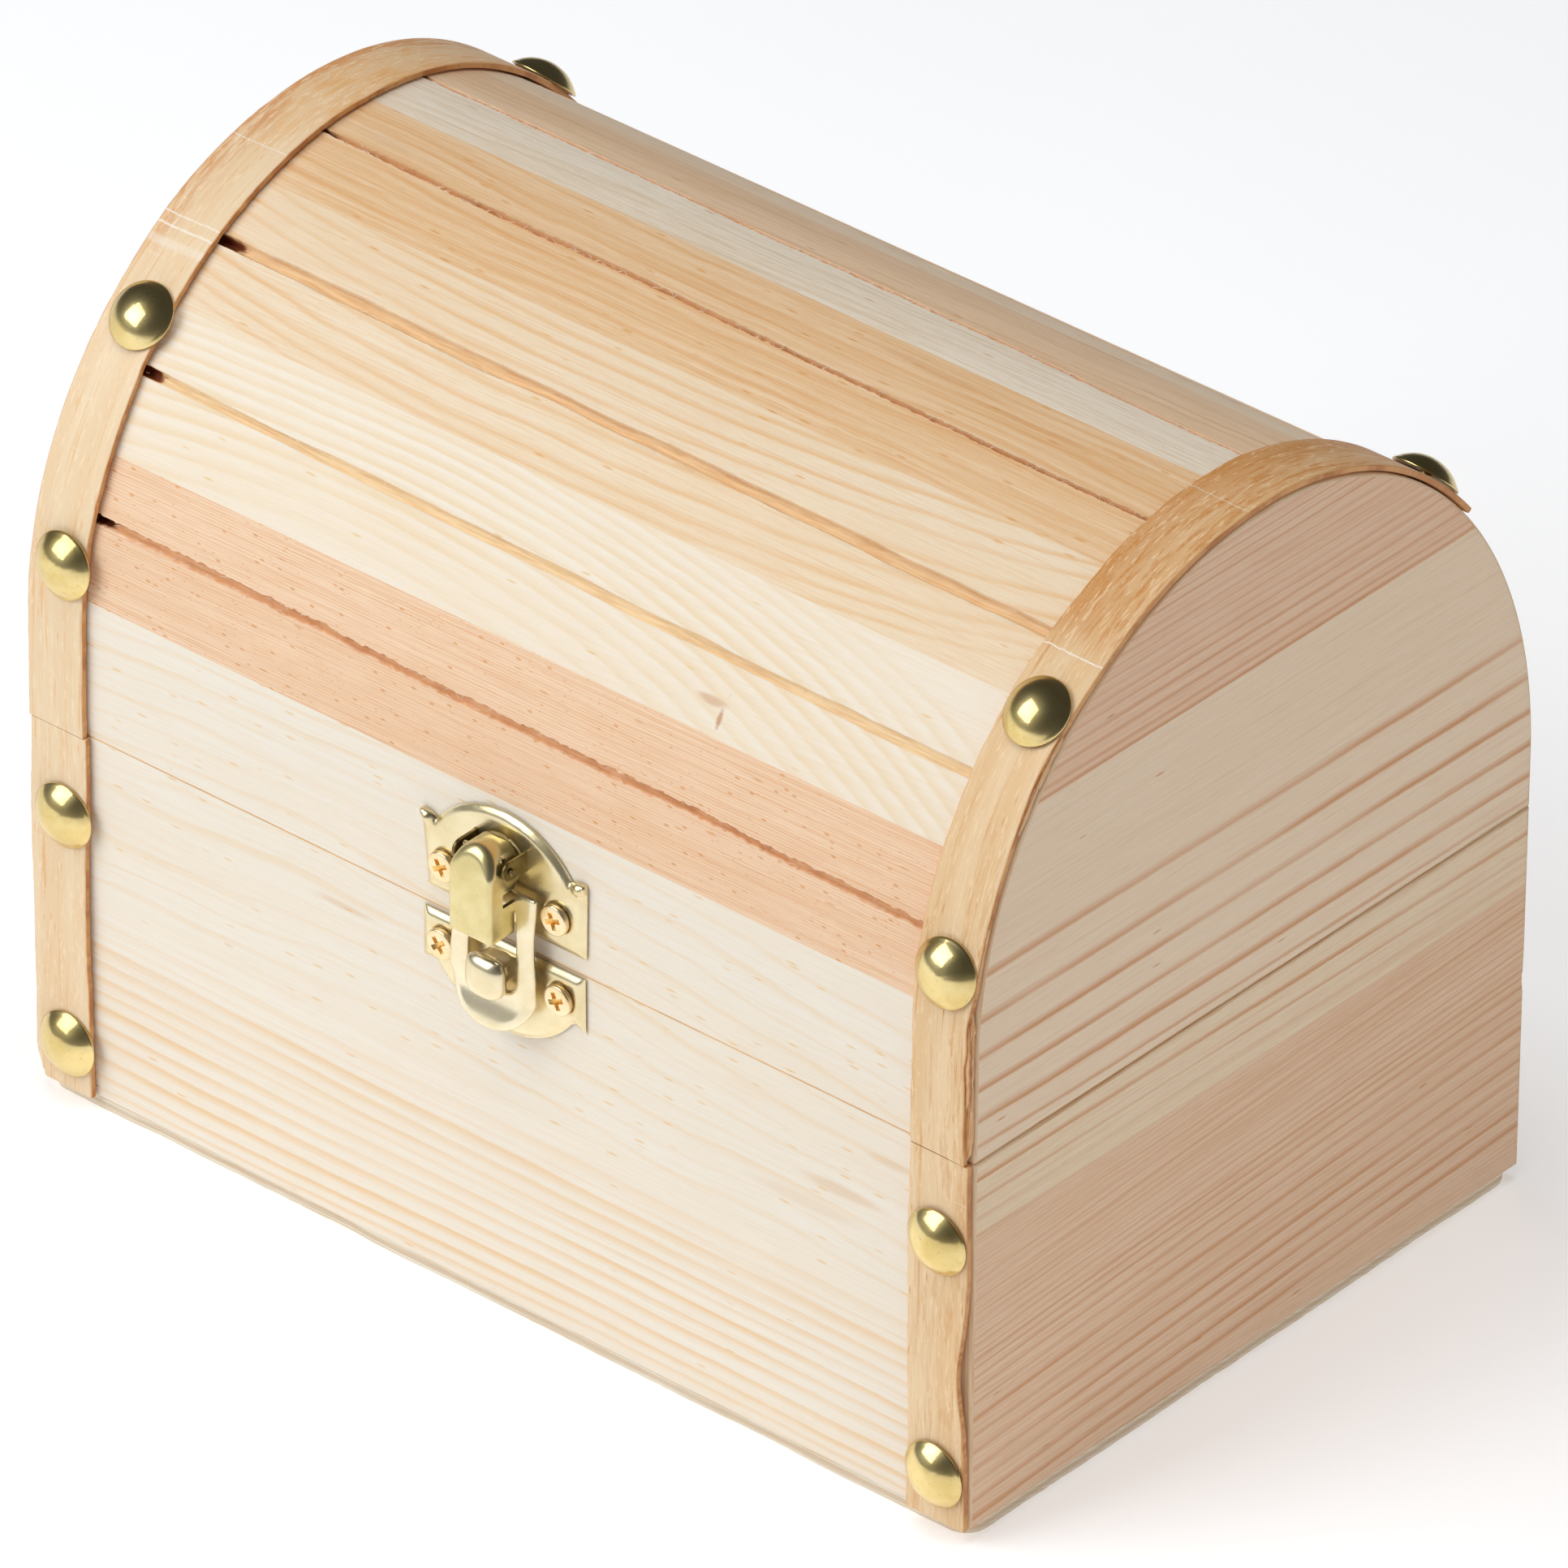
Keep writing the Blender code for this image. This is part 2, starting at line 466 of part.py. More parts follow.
# ---------------------------------------------------------------- hinges on the back
AXIS_Y, AXIS_Z = Y_BACK + PIN_OFF, SPLIT_Z
HSCREW = [(0.0, 0.7), (1.1, 0.62), (1.6, 0.0), (0.75, 0.0), (0.75, -4.0), (0.0, -4.6)]
leaf_y0 = Y_BACK + 0.25
for s, side in ((-1, "left"), (1, "right")):
    cx = s * HINGE_X
    for body, zs in (("base", -1), ("lid", 1)):
        za, zb = sorted((AXIS_Z + zs * 0.5, AXIS_Z + zs * (KNUCKLE_R + HINGE_LEAF_H)))
        spots = [(cx + k * 6.5, AXIS_Z + zs * (KNUCKLE_R + 6.2)) for k in (-1, 1)]
        leaf = prism("hinge_%s_leaf_%s" % (body, side),
                     [rounded_rect(cx - HINGE_LEAF_W / 2, cx + HINGE_LEAF_W / 2, za, zb, 1.0, 3)]
                     + [circle(x, z, 1.05, 12) for x, z in spots],
                     "xz", -(leaf_y0 + HINGE_T), -leaf_y0, BRASS)
        # knuckles: the lid leaf has the two outer ones, the base leaf the middle one
        runs = [(-3.5, 3.5)] if body == "base" else [(-11.0, -3.8), (3.8, 11.0)]
        gaps = [(-11.6, -3.5), (3.5, 11.6)] if body == "base" else [(-3.8, 3.8)]
        for k, (ga, gb) in enumerate(gaps):
            cut = block("cut_gap_%s_%s_%d" % (body, side, k), cx + ga, cx + gb, leaf_y0 - 1, leaf_y0 + 3,
                        AXIS_Z - KNUCKLE_R - 0.35, AXIS_Z + KNUCKLE_R + 0.35, None, cutters)
            boolean(leaf, cut)
        for k, (ka, kb) in enumerate(runs):
            tube = prism("knuckle_%s_%s_%d" % (body, side, k),
                         [circle(AXIS_Y, AXIS_Z, KNUCKLE_R, 20), circle(AXIS_Y, AXIS_Z, KNUCKLE_BORE, 14)],
                         "yz", cx + ka, cx + kb, None, cutters)
            boolean(leaf, tube, "UNION")
        clear = rod("cut_bore_%s_%s" % (body, side), (cx - 13, AXIS_Y, AXIS_Z), (cx + 13, AXIS_Y, AXIS_Z),
                    KNUCKLE_BORE - 0.02, 14, None, cutters)
        boolean(leaf, clear)
        wall = base_back if body == "base" else lid_panel
        for (x, z), tag in zip(spots, ("outer" if s < 0 else "inner", "inner" if s < 0 else "outer")):
            screw("hinge_%s_screw_%s_%s" % (body, side, tag), x, leaf_y0 + HINGE_T + 0.25, z, (0, 1, 0), wall, HSCREW, 5.2)
    rod("hinge_pin_" + side, (cx - 11.3, AXIS_Y, AXIS_Z), (cx + 11.3, AXIS_Y, AXIS_Z), PIN_R, 14, STEEL)
lid_axis = bpy.data.objects.new("lid_hinge_axis", None)
parts.objects.link(lid_axis)
lid_axis.location = (0.0, AXIS_Y * MM, AXIS_Z * MM)

for box_part in (base_front, base_back):
    soften(box_part, 0.3)
bpy.context.view_layer.update()
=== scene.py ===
import math

import bmesh
import bpy
import numpy as np
from mathutils import Matrix, Vector
from mathutils.geometry import delaunay_2d_cdt


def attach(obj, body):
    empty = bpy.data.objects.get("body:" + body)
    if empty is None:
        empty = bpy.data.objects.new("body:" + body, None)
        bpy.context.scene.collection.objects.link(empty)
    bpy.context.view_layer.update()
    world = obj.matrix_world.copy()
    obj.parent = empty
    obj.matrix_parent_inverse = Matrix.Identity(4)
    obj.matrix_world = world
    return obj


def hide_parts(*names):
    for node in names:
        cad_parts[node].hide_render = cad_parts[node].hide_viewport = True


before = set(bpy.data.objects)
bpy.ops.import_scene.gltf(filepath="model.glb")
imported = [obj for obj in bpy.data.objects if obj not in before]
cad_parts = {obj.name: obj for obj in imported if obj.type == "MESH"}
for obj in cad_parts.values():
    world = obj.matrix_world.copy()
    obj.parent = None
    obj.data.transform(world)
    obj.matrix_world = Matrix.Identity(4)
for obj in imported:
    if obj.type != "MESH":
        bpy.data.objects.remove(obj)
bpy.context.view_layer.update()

MM = 0.001

# ---------------------------------------------------------------- sizes shared with the CAD model (millimetres)
HALF, DEPTH = 80.0, 110.5
Y_FRONT = -53.4665
Y_BACK = Y_FRONT + DEPTH
SPLIT_Z, GAP = 57.9, 0.15
END_T, WALL_T, LID_T = 8.0, 6.0, 5.0
WALL_X = 71.7
ARCH_ZF, ARCH_RF = 74.0, 55.0
ARCH_ZR, ARCH_AR, ARCH_BR = 66.0, 55.5, 63.0
BAND_W, BAND_LIFT, BAND_T, BAND_END = 9.8, 0.25, 0.9, 137.0
LX = 1.7
PIVOT_O, PIVOT_Z = 4.1, 71.9
S_TOP = ARCH_ZF + ARCH_RF * math.pi            # run of the lid's outline where the rear spring line is reached


# ---------------------------------------------------------------- small maths
def noise1(x, freq, seed):
    """Smooth one-dimensional noise in -1..1."""
    table = np.random.default_rng(seed).uniform(-1, 1, 4096)
    p = np.asarray(x, float) * freq + 1500.37
    i = np.floor(p).astype(int)
    f = p - i
    f = f * f * (3 - 2 * f)
    return table[i % 4096] * (1 - f) + table[(i + 1) % 4096] * f


def fractal1(x, freq, seed, octaves=3):
    return sum(noise1(x, freq * 2 ** k, seed + 17 * k) * 0.55 ** k for k in range(octaves))


def smooth(a, b, x):
    t = np.clip((np.asarray(x, float) - a) / (b - a), 0, 1)
    return t * t * (3 - 2 * t)


def outline(s, off=0.0):
    """Place and normal on the front and dome, s running up the front wall, over the dome and down the back."""
    s = np.asarray(s, float)
    off = np.broadcast_to(np.asarray(off, float), s.shape)
    a = np.clip((s - ARCH_ZF) / ARCH_RF, 0, math.pi)
    fy, fz = ARCH_RF - ARCH_RF * np.cos(a), ARCH_ZF + ARCH_RF * np.sin(a)
    ry, rz = ARCH_RF - ARCH_AR * np.cos(a), ARCH_ZR + ARCH_BR * np.sin(a)
    rny, rnz = -np.cos(a) / ARCH_AR, np.sin(a) / ARCH_BR
    k = np.hypot(rny, rnz)
    rear = a > math.pi / 2
    y, z = np.where(rear, ry, fy), np.where(rear, rz, fz)
    ny, nz = np.where(rear, rny / k, -np.cos(a)), np.where(rear, rnz / k, np.sin(a))
    low, back = s < ARCH_ZF, s > S_TOP
    y, z = np.where(low, 0.0, y), np.where(low, s, z)
    y, z = np.where(back, DEPTH, y), np.where(back, ARCH_ZR - (s - S_TOP), z)
    ny, nz = np.where(low, -1.0, ny), np.where(low, 0.0, nz)
    ny, nz = np.where(back, 1.0, ny), np.where(back, 0.0, nz)
    return y + ny * off + Y_FRONT, z + nz * off, ny, nz


def o2y(o):
    """Distance in front of the wall -> Y."""
    return Y_FRONT - o


# ---------------------------------------------------------------- mesh helpers
def make_object(name, verts, faces, mats, face_mat=None, uv=None, attrs=None, angle=35.0):
    """Mesh object from millimetre points. uv is one pair per vertex, or None for a box projection."""
    me = bpy.data.meshes.new(name)
    v = np.asarray(verts, float) * MM
    me.from_pydata(v.tolist(), [], [tuple(int(i) for i in f) for f in faces])
    me.validate(clean_customdata=False)
    if not isinstance(mats, (list, tuple)):
        mats = [mats]
    for m in mats:
        me.materials.append(m)
    if face_mat is not None:
        me.polygons.foreach_set("material_index", np.asarray(face_mat, np.int32))
    set_uv(me, None if uv is None else np.asarray(uv, float))
    for key, values in (attrs or {}).items():
        at = me.attributes.new(key, "FLOAT", "POINT")
        at.data.foreach_set("value", np.asarray(values, np.float32))
    me.polygons.foreach_set("use_smooth", np.ones(len(me.polygons), bool))
    if angle:
        me.set_sharp_from_angle(angle=math.radians(angle))
    ob = bpy.data.objects.new(name, me)
    bpy.context.scene.collection.objects.link(ob)
    return ob


def set_uv(me, per_vertex=None):
    """UV in millimetres, straight from the vertices or projected along each face's own direction."""
    layer = me.uv_layers.new(name="UVMap") if not me.uv_layers else me.uv_layers[0]
    n = len(me.loops)
    idx = np.empty(n, np.int32)
    me.loops.foreach_get("vertex_index", idx)
    if per_vertex is None:
        co = np.empty(len(me.vertices) * 3)
        me.vertices.foreach_get("co", co)
        co = co.reshape(-1, 3) / MM
        uv = np.zeros((n, 2))
        for p in me.polygons:
            sl = slice(p.loop_start, p.loop_start + p.loop_total)
            c = co[idx[sl]]
            nx, ny, nz = abs(p.normal.x), abs(p.normal.y), abs(p.normal.z)
            if nx >= ny and nx >= nz:
                uv[sl] = c[:, [1, 2]] - [Y_FRONT, 0]
            elif ny >= nz:
                uv[sl] = c[:, [0, 2]]
            else:
                uv[sl] = c[:, [0, 1]] - [0, Y_FRONT]
    else:
        uv = per_vertex[idx]
    layer.data.foreach_set("uv", uv.ravel())


def grid_faces(rows, cols, start=0, wrap=False):
    """Faces of a grid stored row by row; the normal faces out when rows turn to columns by the right hand."""
    r = np.arange(rows - 1)[:, None]
    c = np.arange(cols if wrap else cols - 1)[None, :]
    a = start + r * cols + c
    b = start + r * cols + (c + 1) % cols
    return np.stack([a, b, b + cols, a + cols], -1).reshape(-1, 4)


def join_parts(parts):
    """[(verts, faces, uv, attr)] -> one set of arrays."""
    vs, fs, uvs, ats, n = [], [], [], [], 0
    for v, f, uv, at in parts:
        vs.append(v)
        fs.append(np.asarray(f) + n)
        uvs.append(uv)
        ats.append(at)
        n += len(v)
    return np.concatenate(vs), np.concatenate(fs), np.concatenate(uvs), np.concatenate(ats)


def rounded_block(name, lo, hi, r, mat, seg=3, wobble=0.0, seed=1, cuts=0):
    """A board or small block with worn, rounded edges."""
    bm = bmesh.new()
    bmesh.ops.create_cube(bm, size=1.0)
    size = [(hi[k] - lo[k]) * MM for k in range(3)]
    mid = [(hi[k] + lo[k]) / 2 * MM for k in range(3)]
    bmesh.ops.scale(bm, vec=size, verts=bm.verts)
    bmesh.ops.translate(bm, vec=mid, verts=bm.verts)
    bmesh.ops.bevel(bm, geom=list(bm.edges), offset=r * MM, segments=seg, profile=0.6, affect="EDGES")
    if cuts:
        bmesh.ops.subdivide_edges(bm, edges=[e for e in bm.edges if e.calc_length() > 8 * MM], cuts=cuts, use_grid_fill=True)
    if wobble:
        for v in bm.verts:
            c = v.co / MM
            v.co.y += wobble * MM * float(noise1(c.x + c.z * 0.7, 0.06, seed)) * 0.5
    me = bpy.data.meshes.new(name)
    bm.to_mesh(me)
    bm.free()
    me.materials.append(mat)
    set_uv(me)
    me.polygons.foreach_set("use_smooth", np.ones(len(me.polygons), bool))
    me.set_sharp_from_angle(angle=math.radians(40))
    ob = bpy.data.objects.new(name, me)
    bpy.context.scene.collection.objects.link(ob)
    return ob


def settle(ob, angle=40.0):
    """Turns an object's modifiers (or a curve) into a plain mesh in place."""
    bpy.context.view_layer.update()
    dg = bpy.context.evaluated_depsgraph_get()
    me = bpy.data.meshes.new_from_object(ob.evaluated_get(dg))
    me.transform(ob.matrix_world)
    me.name = ob.name
    mats = [m for m in ob.data.materials]
    new = bpy.data.objects.new(ob.name + "_m", me)
    if not me.materials:
        for m in mats:
            me.materials.append(m)
    bpy.context.scene.collection.objects.link(new)
    name = ob.name
    bpy.data.objects.remove(ob, do_unlink=True)
    new.name = name
    me.polygons.foreach_set("use_smooth", np.ones(len(me.polygons), bool))
    me.set_sharp_from_angle(angle=math.radians(angle))
    return new


def dist_to(pts, loops):
    """Distance of each (x, z) point to the nearest edge of the closed loops."""
    P = np.asarray(pts, float)
    best = np.full(len(P), 1e9)
    for loop in loops:
        A = np.asarray(loop, float)
        B = np.roll(A, -1, axis=0)
        for a, b in zip(A, B):
            d = b - a
            t = np.clip(((P - a) @ d) / max(1e-12, d @ d), 0, 1)
            best = np.minimum(best, np.hypot(*(P - a - t[:, None] * d).T))
    return best


def resample(loop, step):
    out = []
    n = len(loop)
    for i in range(n):
        a, b = loop[i], loop[(i + 1) % n]
        k = max(1, int(round(math.hypot(b[0] - a[0], b[1] - a[1]) / step)))
        out += [(a[0] + (b[0] - a[0]) * j / k, a[1] + (b[1] - a[1]) * j / k) for j in range(k)]
    return out


def pressed(name, loops, front, back, mat, step=0.42, angle=50):
    """Pressed sheet: closed loops in (x, z); front(x, z, d) and back(x, z, d) give how far each face stands forward."""
    loops = [resample(l, step) for l in loops]
    outer = np.array(loops[0])
    pts, edges = [], []
    for l in loops:
        n0 = len(pts)
        pts += [Vector(q) for q in l]
        edges += [(n0 + i, n0 + (i + 1) % len(l)) for i in range(len(l))]
    xs = np.arange(outer[:, 0].min() + step * 0.5, outer[:, 0].max(), step)
    zs = np.arange(outer[:, 1].min() + step * 0.5, outer[:, 1].max(), step)
    X, Z = np.meshgrid(xs, zs)
    X = X + (np.arange(len(zs)) % 2)[:, None] * step * 0.5
    G = np.stack([X.ravel(), Z.ravel()], -1)
    G = G[dist_to(G, loops) > step * 0.55]
    # rows close to the rim so that its curve is well described
    for l in loops:
        A = np.array(l)
        t = np.roll(A, -1, axis=0) - np.roll(A, 1, axis=0)
        t /= np.linalg.norm(t, axis=1)[:, None] + 1e-9
        for d in (0.10, 0.24):
            for sg in (-1, 1):
                q = A + sg * d * np.stack([t[:, 1], -t[:, 0]], -1)
                G = np.concatenate([G, q[dist_to(q, loops) > d * 0.9]])
    allv = pts + [Vector(q) for q in G]
    vo, eo, fo, ov, oe, of = delaunay_2d_cdt(allv, edges, [], 0, 1e-5)

    def inside(P, loop):
        A = np.array(loop)
        B = np.roll(A, -1, axis=0)
        res = np.zeros(len(P), bool)
        for a, b in zip(A, B):
            c = ((a[1] > P[:, 1]) != (b[1] > P[:, 1]))
            with np.errstate(divide="ignore", invalid="ignore"):
                xx = (b[0] - a[0]) * (P[:, 1] - a[1]) / (b[1] - a[1]) + a[0]
            res ^= c & (P[:, 0] < xx)
        return res

    V2 = np.array([tuple(v) for v in vo])
    tri = np.array([f for f in fo if len(f) == 3])
    cen = V2[tri].mean(axis=1)
    keep = inside(cen, loops[0])
    for l in loops[1:]:
        keep &= ~inside(cen, l)
    tri = tri[keep]
    d = dist_to(V2, loops)
    f_o = front(V2[:, 0], V2[:, 1], d)
    b_o = np.minimum(back(V2[:, 0], V2[:, 1], d), f_o - 0.02)
    n = len(V2)
    V = np.concatenate([np.column_stack([V2[:, 0], o2y(f_o), V2[:, 1]]), np.column_stack([V2[:, 0], o2y(b_o), V2[:, 1]])])
    a, b, c = V2[tri[:, 0]], V2[tri[:, 1]], V2[tri[:, 2]]
    ccw = ((b - a)[:, 0] * (c - a)[:, 1] - (b - a)[:, 1] * (c - a)[:, 0]) > 0
    tri[~ccw] = tri[~ccw][:, ::-1]
    F = [tuple(t) for t in tri] + [tuple(int(i) + n for i in t[::-1]) for t in tri]
    count = {}
    for t in tri:
        for i in range(3):
            e = (int(t[i]), int(t[(i + 1) % 3]))
            count[e] = count.get(e, 0) + 1
    for (i, j) in list(count):
        if (j, i) not in count:
            F.append((j, i, i + n, j + n))
    ob = make_object(name, V, F, mat, angle=angle)
    bm = bmesh.new()
    bm.from_mesh(ob.data)
    loose = [v for v in bm.verts if not v.link_faces]
    bmesh.ops.delete(bm, geom=loose, context="VERTS")
    bmesh.ops.recalc_face_normals(bm, faces=bm.faces)
    bm.to_mesh(ob.data)
    bm.free()
    set_uv(ob.data)
    return ob


def arc(cx, cz, half_chord, rise, seg, up=True):
    """Right end to left end, bulging up or down."""
    r = (half_chord ** 2 + rise ** 2) / (2 * rise)
    half = math.asin(min(1.0, half_chord / r))
    s = 1 if up else -1
    return [(cx + r * math.sin(half - 2 * half * i / seg), cz + s * (r * math.cos(half - 2 * half * i / seg) - (r - rise)))
            for i in range(seg + 1)]


def ring(cx, cz, r, seg=28):
    return [(cx + r * math.cos(2 * math.pi * i / seg), cz + r * math.sin(2 * math.pi * i / seg)) for i in range(seg)]


def round_corners(pts, radii, seg=4):
    """Polygon with each corner cut to an arc of its own radius."""
    out = []
    n = len(pts)
    for i in range(n):
        p, a, b = Vector(pts[i]), Vector(pts[i - 1]), Vector(pts[(i + 1) % n])
        r = radii[i] if isinstance(radii, (list, tuple)) else radii
        if r <= 0:
            out.append(tuple(p))
            continue
        da, db = (a - p), (b - p)
        k = min(r, da.length * 0.49, db.length * 0.49)
        p0, p1 = p + da.normalized() * k, p + db.normalized() * k
        for j in range(seg + 1):
            t = j / seg
            q = p0 * (1 - t) ** 2 + p * 2 * t * (1 - t) + p1 * t ** 2
            out.append((q.x, q.y))
    return out


def revolve(name, profile, centre, normal, mat, seg=48, dent=0.0, seed=1):
    """Turned piece: profile (radius, height) from the top down; smooth, with slight dents."""
    n = Vector(normal).normalized()
    t = n.orthogonal().normalized()
    b = n.cross(t)
    rows = len(profile)
    ang = np.linspace(0, 2 * math.pi, seg, endpoint=False)
    pr = np.array(profile, float)
    rad, hei = pr[:, 0][:, None] * np.ones(seg), pr[:, 1][:, None] * np.ones(seg)
    if dent:
        bumps = (noise1(rad * np.cos(ang) * 1.0 + 40 * seed, 0.55, seed) * noise1(rad * np.sin(ang) + 9 * seed, 0.6, seed + 5)
                 + 0.35 * noise1(rad * np.cos(ang + 1.0), 1.9, seed + 9) * noise1(rad * np.sin(ang + 0.6), 1.7, seed + 11))
        hei = hei + dent * bumps * (hei > 0.3)
    px, py = rad * np.cos(ang), rad * np.sin(ang)
    c = np.array(centre, float)
    P = c + px[..., None] * np.array(t) + py[..., None] * np.array(b) + hei[..., None] * np.array(n)
    faces = grid_faces(rows, seg, wrap=True)[:, ::-1]
    uv = np.stack([px, py], -1).reshape(-1, 2)
    return make_object(name, P.reshape(-1, 3), faces, mat, uv=uv, angle=50)


def cut(ob, tool, op="DIFFERENCE"):
    m = ob.modifiers.new("cut", "BOOLEAN")
    m.operation = op
    m.object = tool
    m.solver = "EXACT"
    out = settle(ob)
    bpy.data.objects.remove(tool, do_unlink=True)
    return out


def put(ob, body, *nodes, slot=None):
    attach(ob, body)
    if nodes:
        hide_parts(*nodes)
    return ob


# ---------------------------------------------------------------- materials
class Nodes:
    """Short-hand for building a node tree."""

    def __init__(self, name):
        self.mat = bpy.data.materials.new(name)
        self.mat.use_nodes = True
        self.t = self.mat.node_tree
        self.t.nodes.clear()
        self.out = self.t.nodes.new("ShaderNodeOutputMaterial")
        self.bsdf = self.t.nodes.new("ShaderNodeBsdfPrincipled")
        self.t.links.new(self.bsdf.outputs[0], self.out.inputs[0])

    def set(self, sock, v):
        if isinstance(v, bpy.types.NodeSocket):
            self.t.links.new(v, sock)
        elif v is not None:
            sock.default_value = v

    def math(self, op, a, b=None, c=None, clamp=False):
        n = self.t.nodes.new("ShaderNodeMath")
        n.operation = op
        n.use_clamp = clamp
        for s, v in zip(n.inputs, (a, b, c)):
            self.set(s, v)
        return n.outputs[0]

    def add(self, *a):
        r = a[0]
        for b in a[1:]:
            r = self.math("ADD", r, b)
        return r

    def mul(self, a, b):
        return self.math("MULTIPLY", a, b)

    def span(self, v, a, b, lo=0.0, hi=1.0, soft=True):
        n = self.t.nodes.new("ShaderNodeMapRange")
        n.interpolation_type = "SMOOTHSTEP" if soft else "LINEAR"
        for s, x in zip(n.inputs, (v, a, b, lo, hi)):
            self.set(s, x)
        return n.outputs[0]

    def mix(self, fac, a, b, mode="MIX"):
        n = self.t.nodes.new("ShaderNodeMix")
        n.data_type = "RGBA"
        n.blend_type = mode
        n.clamp_factor = True
        for s, x in ((n.inputs[0], fac), (n.inputs[6], a), (n.inputs[7], b)):
            if isinstance(x, (tuple, list)) and len(x) == 3:
                x = (*x, 1.0)
            self.set(s, x)
        return n.outputs[2]

    def vec(self, x, y, z=0.0):
        n = self.t.nodes.new("ShaderNodeCombineXYZ")
        for s, v in zip(n.inputs, (x, y, z)):
            self.set(s, v)
        return n.outputs[0]

    def noise(self, vec, scale=1.0, detail=2.0, rough=0.5, dist=0.0):
        n = self.t.nodes.new("ShaderNodeTexNoise")
        self.set(n.inputs["Vector"], vec)
        n.inputs["Scale"].default_value = scale
        n.inputs["Detail"].default_value = detail
        n.inputs["Roughness"].default_value = rough
        n.inputs["Distortion"].default_value = dist
        return n.outputs[0]

    def cells(self, vec, scale=1.0, rand=1.0, out=0):
        n = self.t.nodes.new("ShaderNodeTexVoronoi")
        self.set(n.inputs["Vector"], vec)
        n.inputs["Scale"].default_value = scale
        n.inputs["Randomness"].default_value = rand
        return n.outputs[0], n.outputs[1]

    def uv(self):
        n = self.t.nodes.new("ShaderNodeUVMap")
        n.uv_map = "UVMap"
        s = self.t.nodes.new("ShaderNodeSeparateXYZ")
        self.t.links.new(n.outputs[0], s.inputs[0])
        return s.outputs[0], s.outputs[1]

    def attr(self, name):
        n = self.t.nodes.new("ShaderNodeAttribute")
        n.attribute_name = name
        return n.outputs["Fac"]

    def ramp(self, fac, stops, interp="LINEAR"):
        n = self.t.nodes.new("ShaderNodeValToRGB")
        n.color_ramp.interpolation = interp
        el = n.color_ramp.elements
        while len(el) < min(len(stops), 32):
            el.new(0.5)
        for e, (p, c) in zip(el, stops):
            e.position = p
            e.color = (*c, 1.0) if isinstance(c, (tuple, list)) else (c, c, c, 1.0)
        self.set(n.inputs[0], fac)
        return n.outputs[0]

    def bump(self, height, distance, strength=1.0):
        n = self.t.nodes.new("ShaderNodeBump")
        n.inputs["Strength"].default_value = strength
        n.inputs["Distance"].default_value = distance
        self.set(n.inputs["Height"], height)
        return n.outputs[0]

    def done(self, colour, rough, normal=None, metal=0.0, spec=None):
        self.set(self.bsdf.inputs["Base Color"], (*colour, 1.0) if isinstance(colour, tuple) else colour)
        self.set(self.bsdf.inputs["Roughness"], rough)
        self.set(self.bsdf.inputs["Metallic"], metal)
        if spec is not None:
            self.set(self.bsdf.inputs["Specular IOR Level"], spec)
        if normal is not None:
            self.set(self.bsdf.inputs["Normal"], normal)
        return self.mat


def srgb(r, g, b):
    return tuple((c / 255 / 12.92) if c / 255 <= 0.04045 else ((c / 255 + 0.055) / 1.055) ** 2.4 for c in (r, g, b))


def line_sets(N, t, lines):
    """Latewood lines: (place, width below, width above, strength) along t, as a 0..1 value."""
    total = None
    for k in range(0, len(lines), 10):
        part = sorted(lines)[k:k + 10]
        lo = part[0][0] - part[0][1] - 1.0
        hi = part[-1][0] + part[-1][2] + 1.0
        stops = [(0.0, 0.0)]
        for p, wb, wa, st in part:
            f = lambda q: (q - lo) / (hi - lo)
            stops += [(f(p - wb), 0.0), (f(p), st), (f(p + wa), 0.0)]
        stops.append((1.0, 0.0))
        # overlapping lines: keep places in order
        fixed, last = [], -1.0
        for q, v in stops:
            q = max(q, last + 1e-5)
            fixed.append((min(q, 1.0), v))
            last = q
        fac = N.math("DIVIDE", N.math("SUBTRACT", t, lo), hi - lo)
        r = N.ramp(fac, fixed)
        total = r if total is None else N.math("MAXIMUM", total, r)
    return total


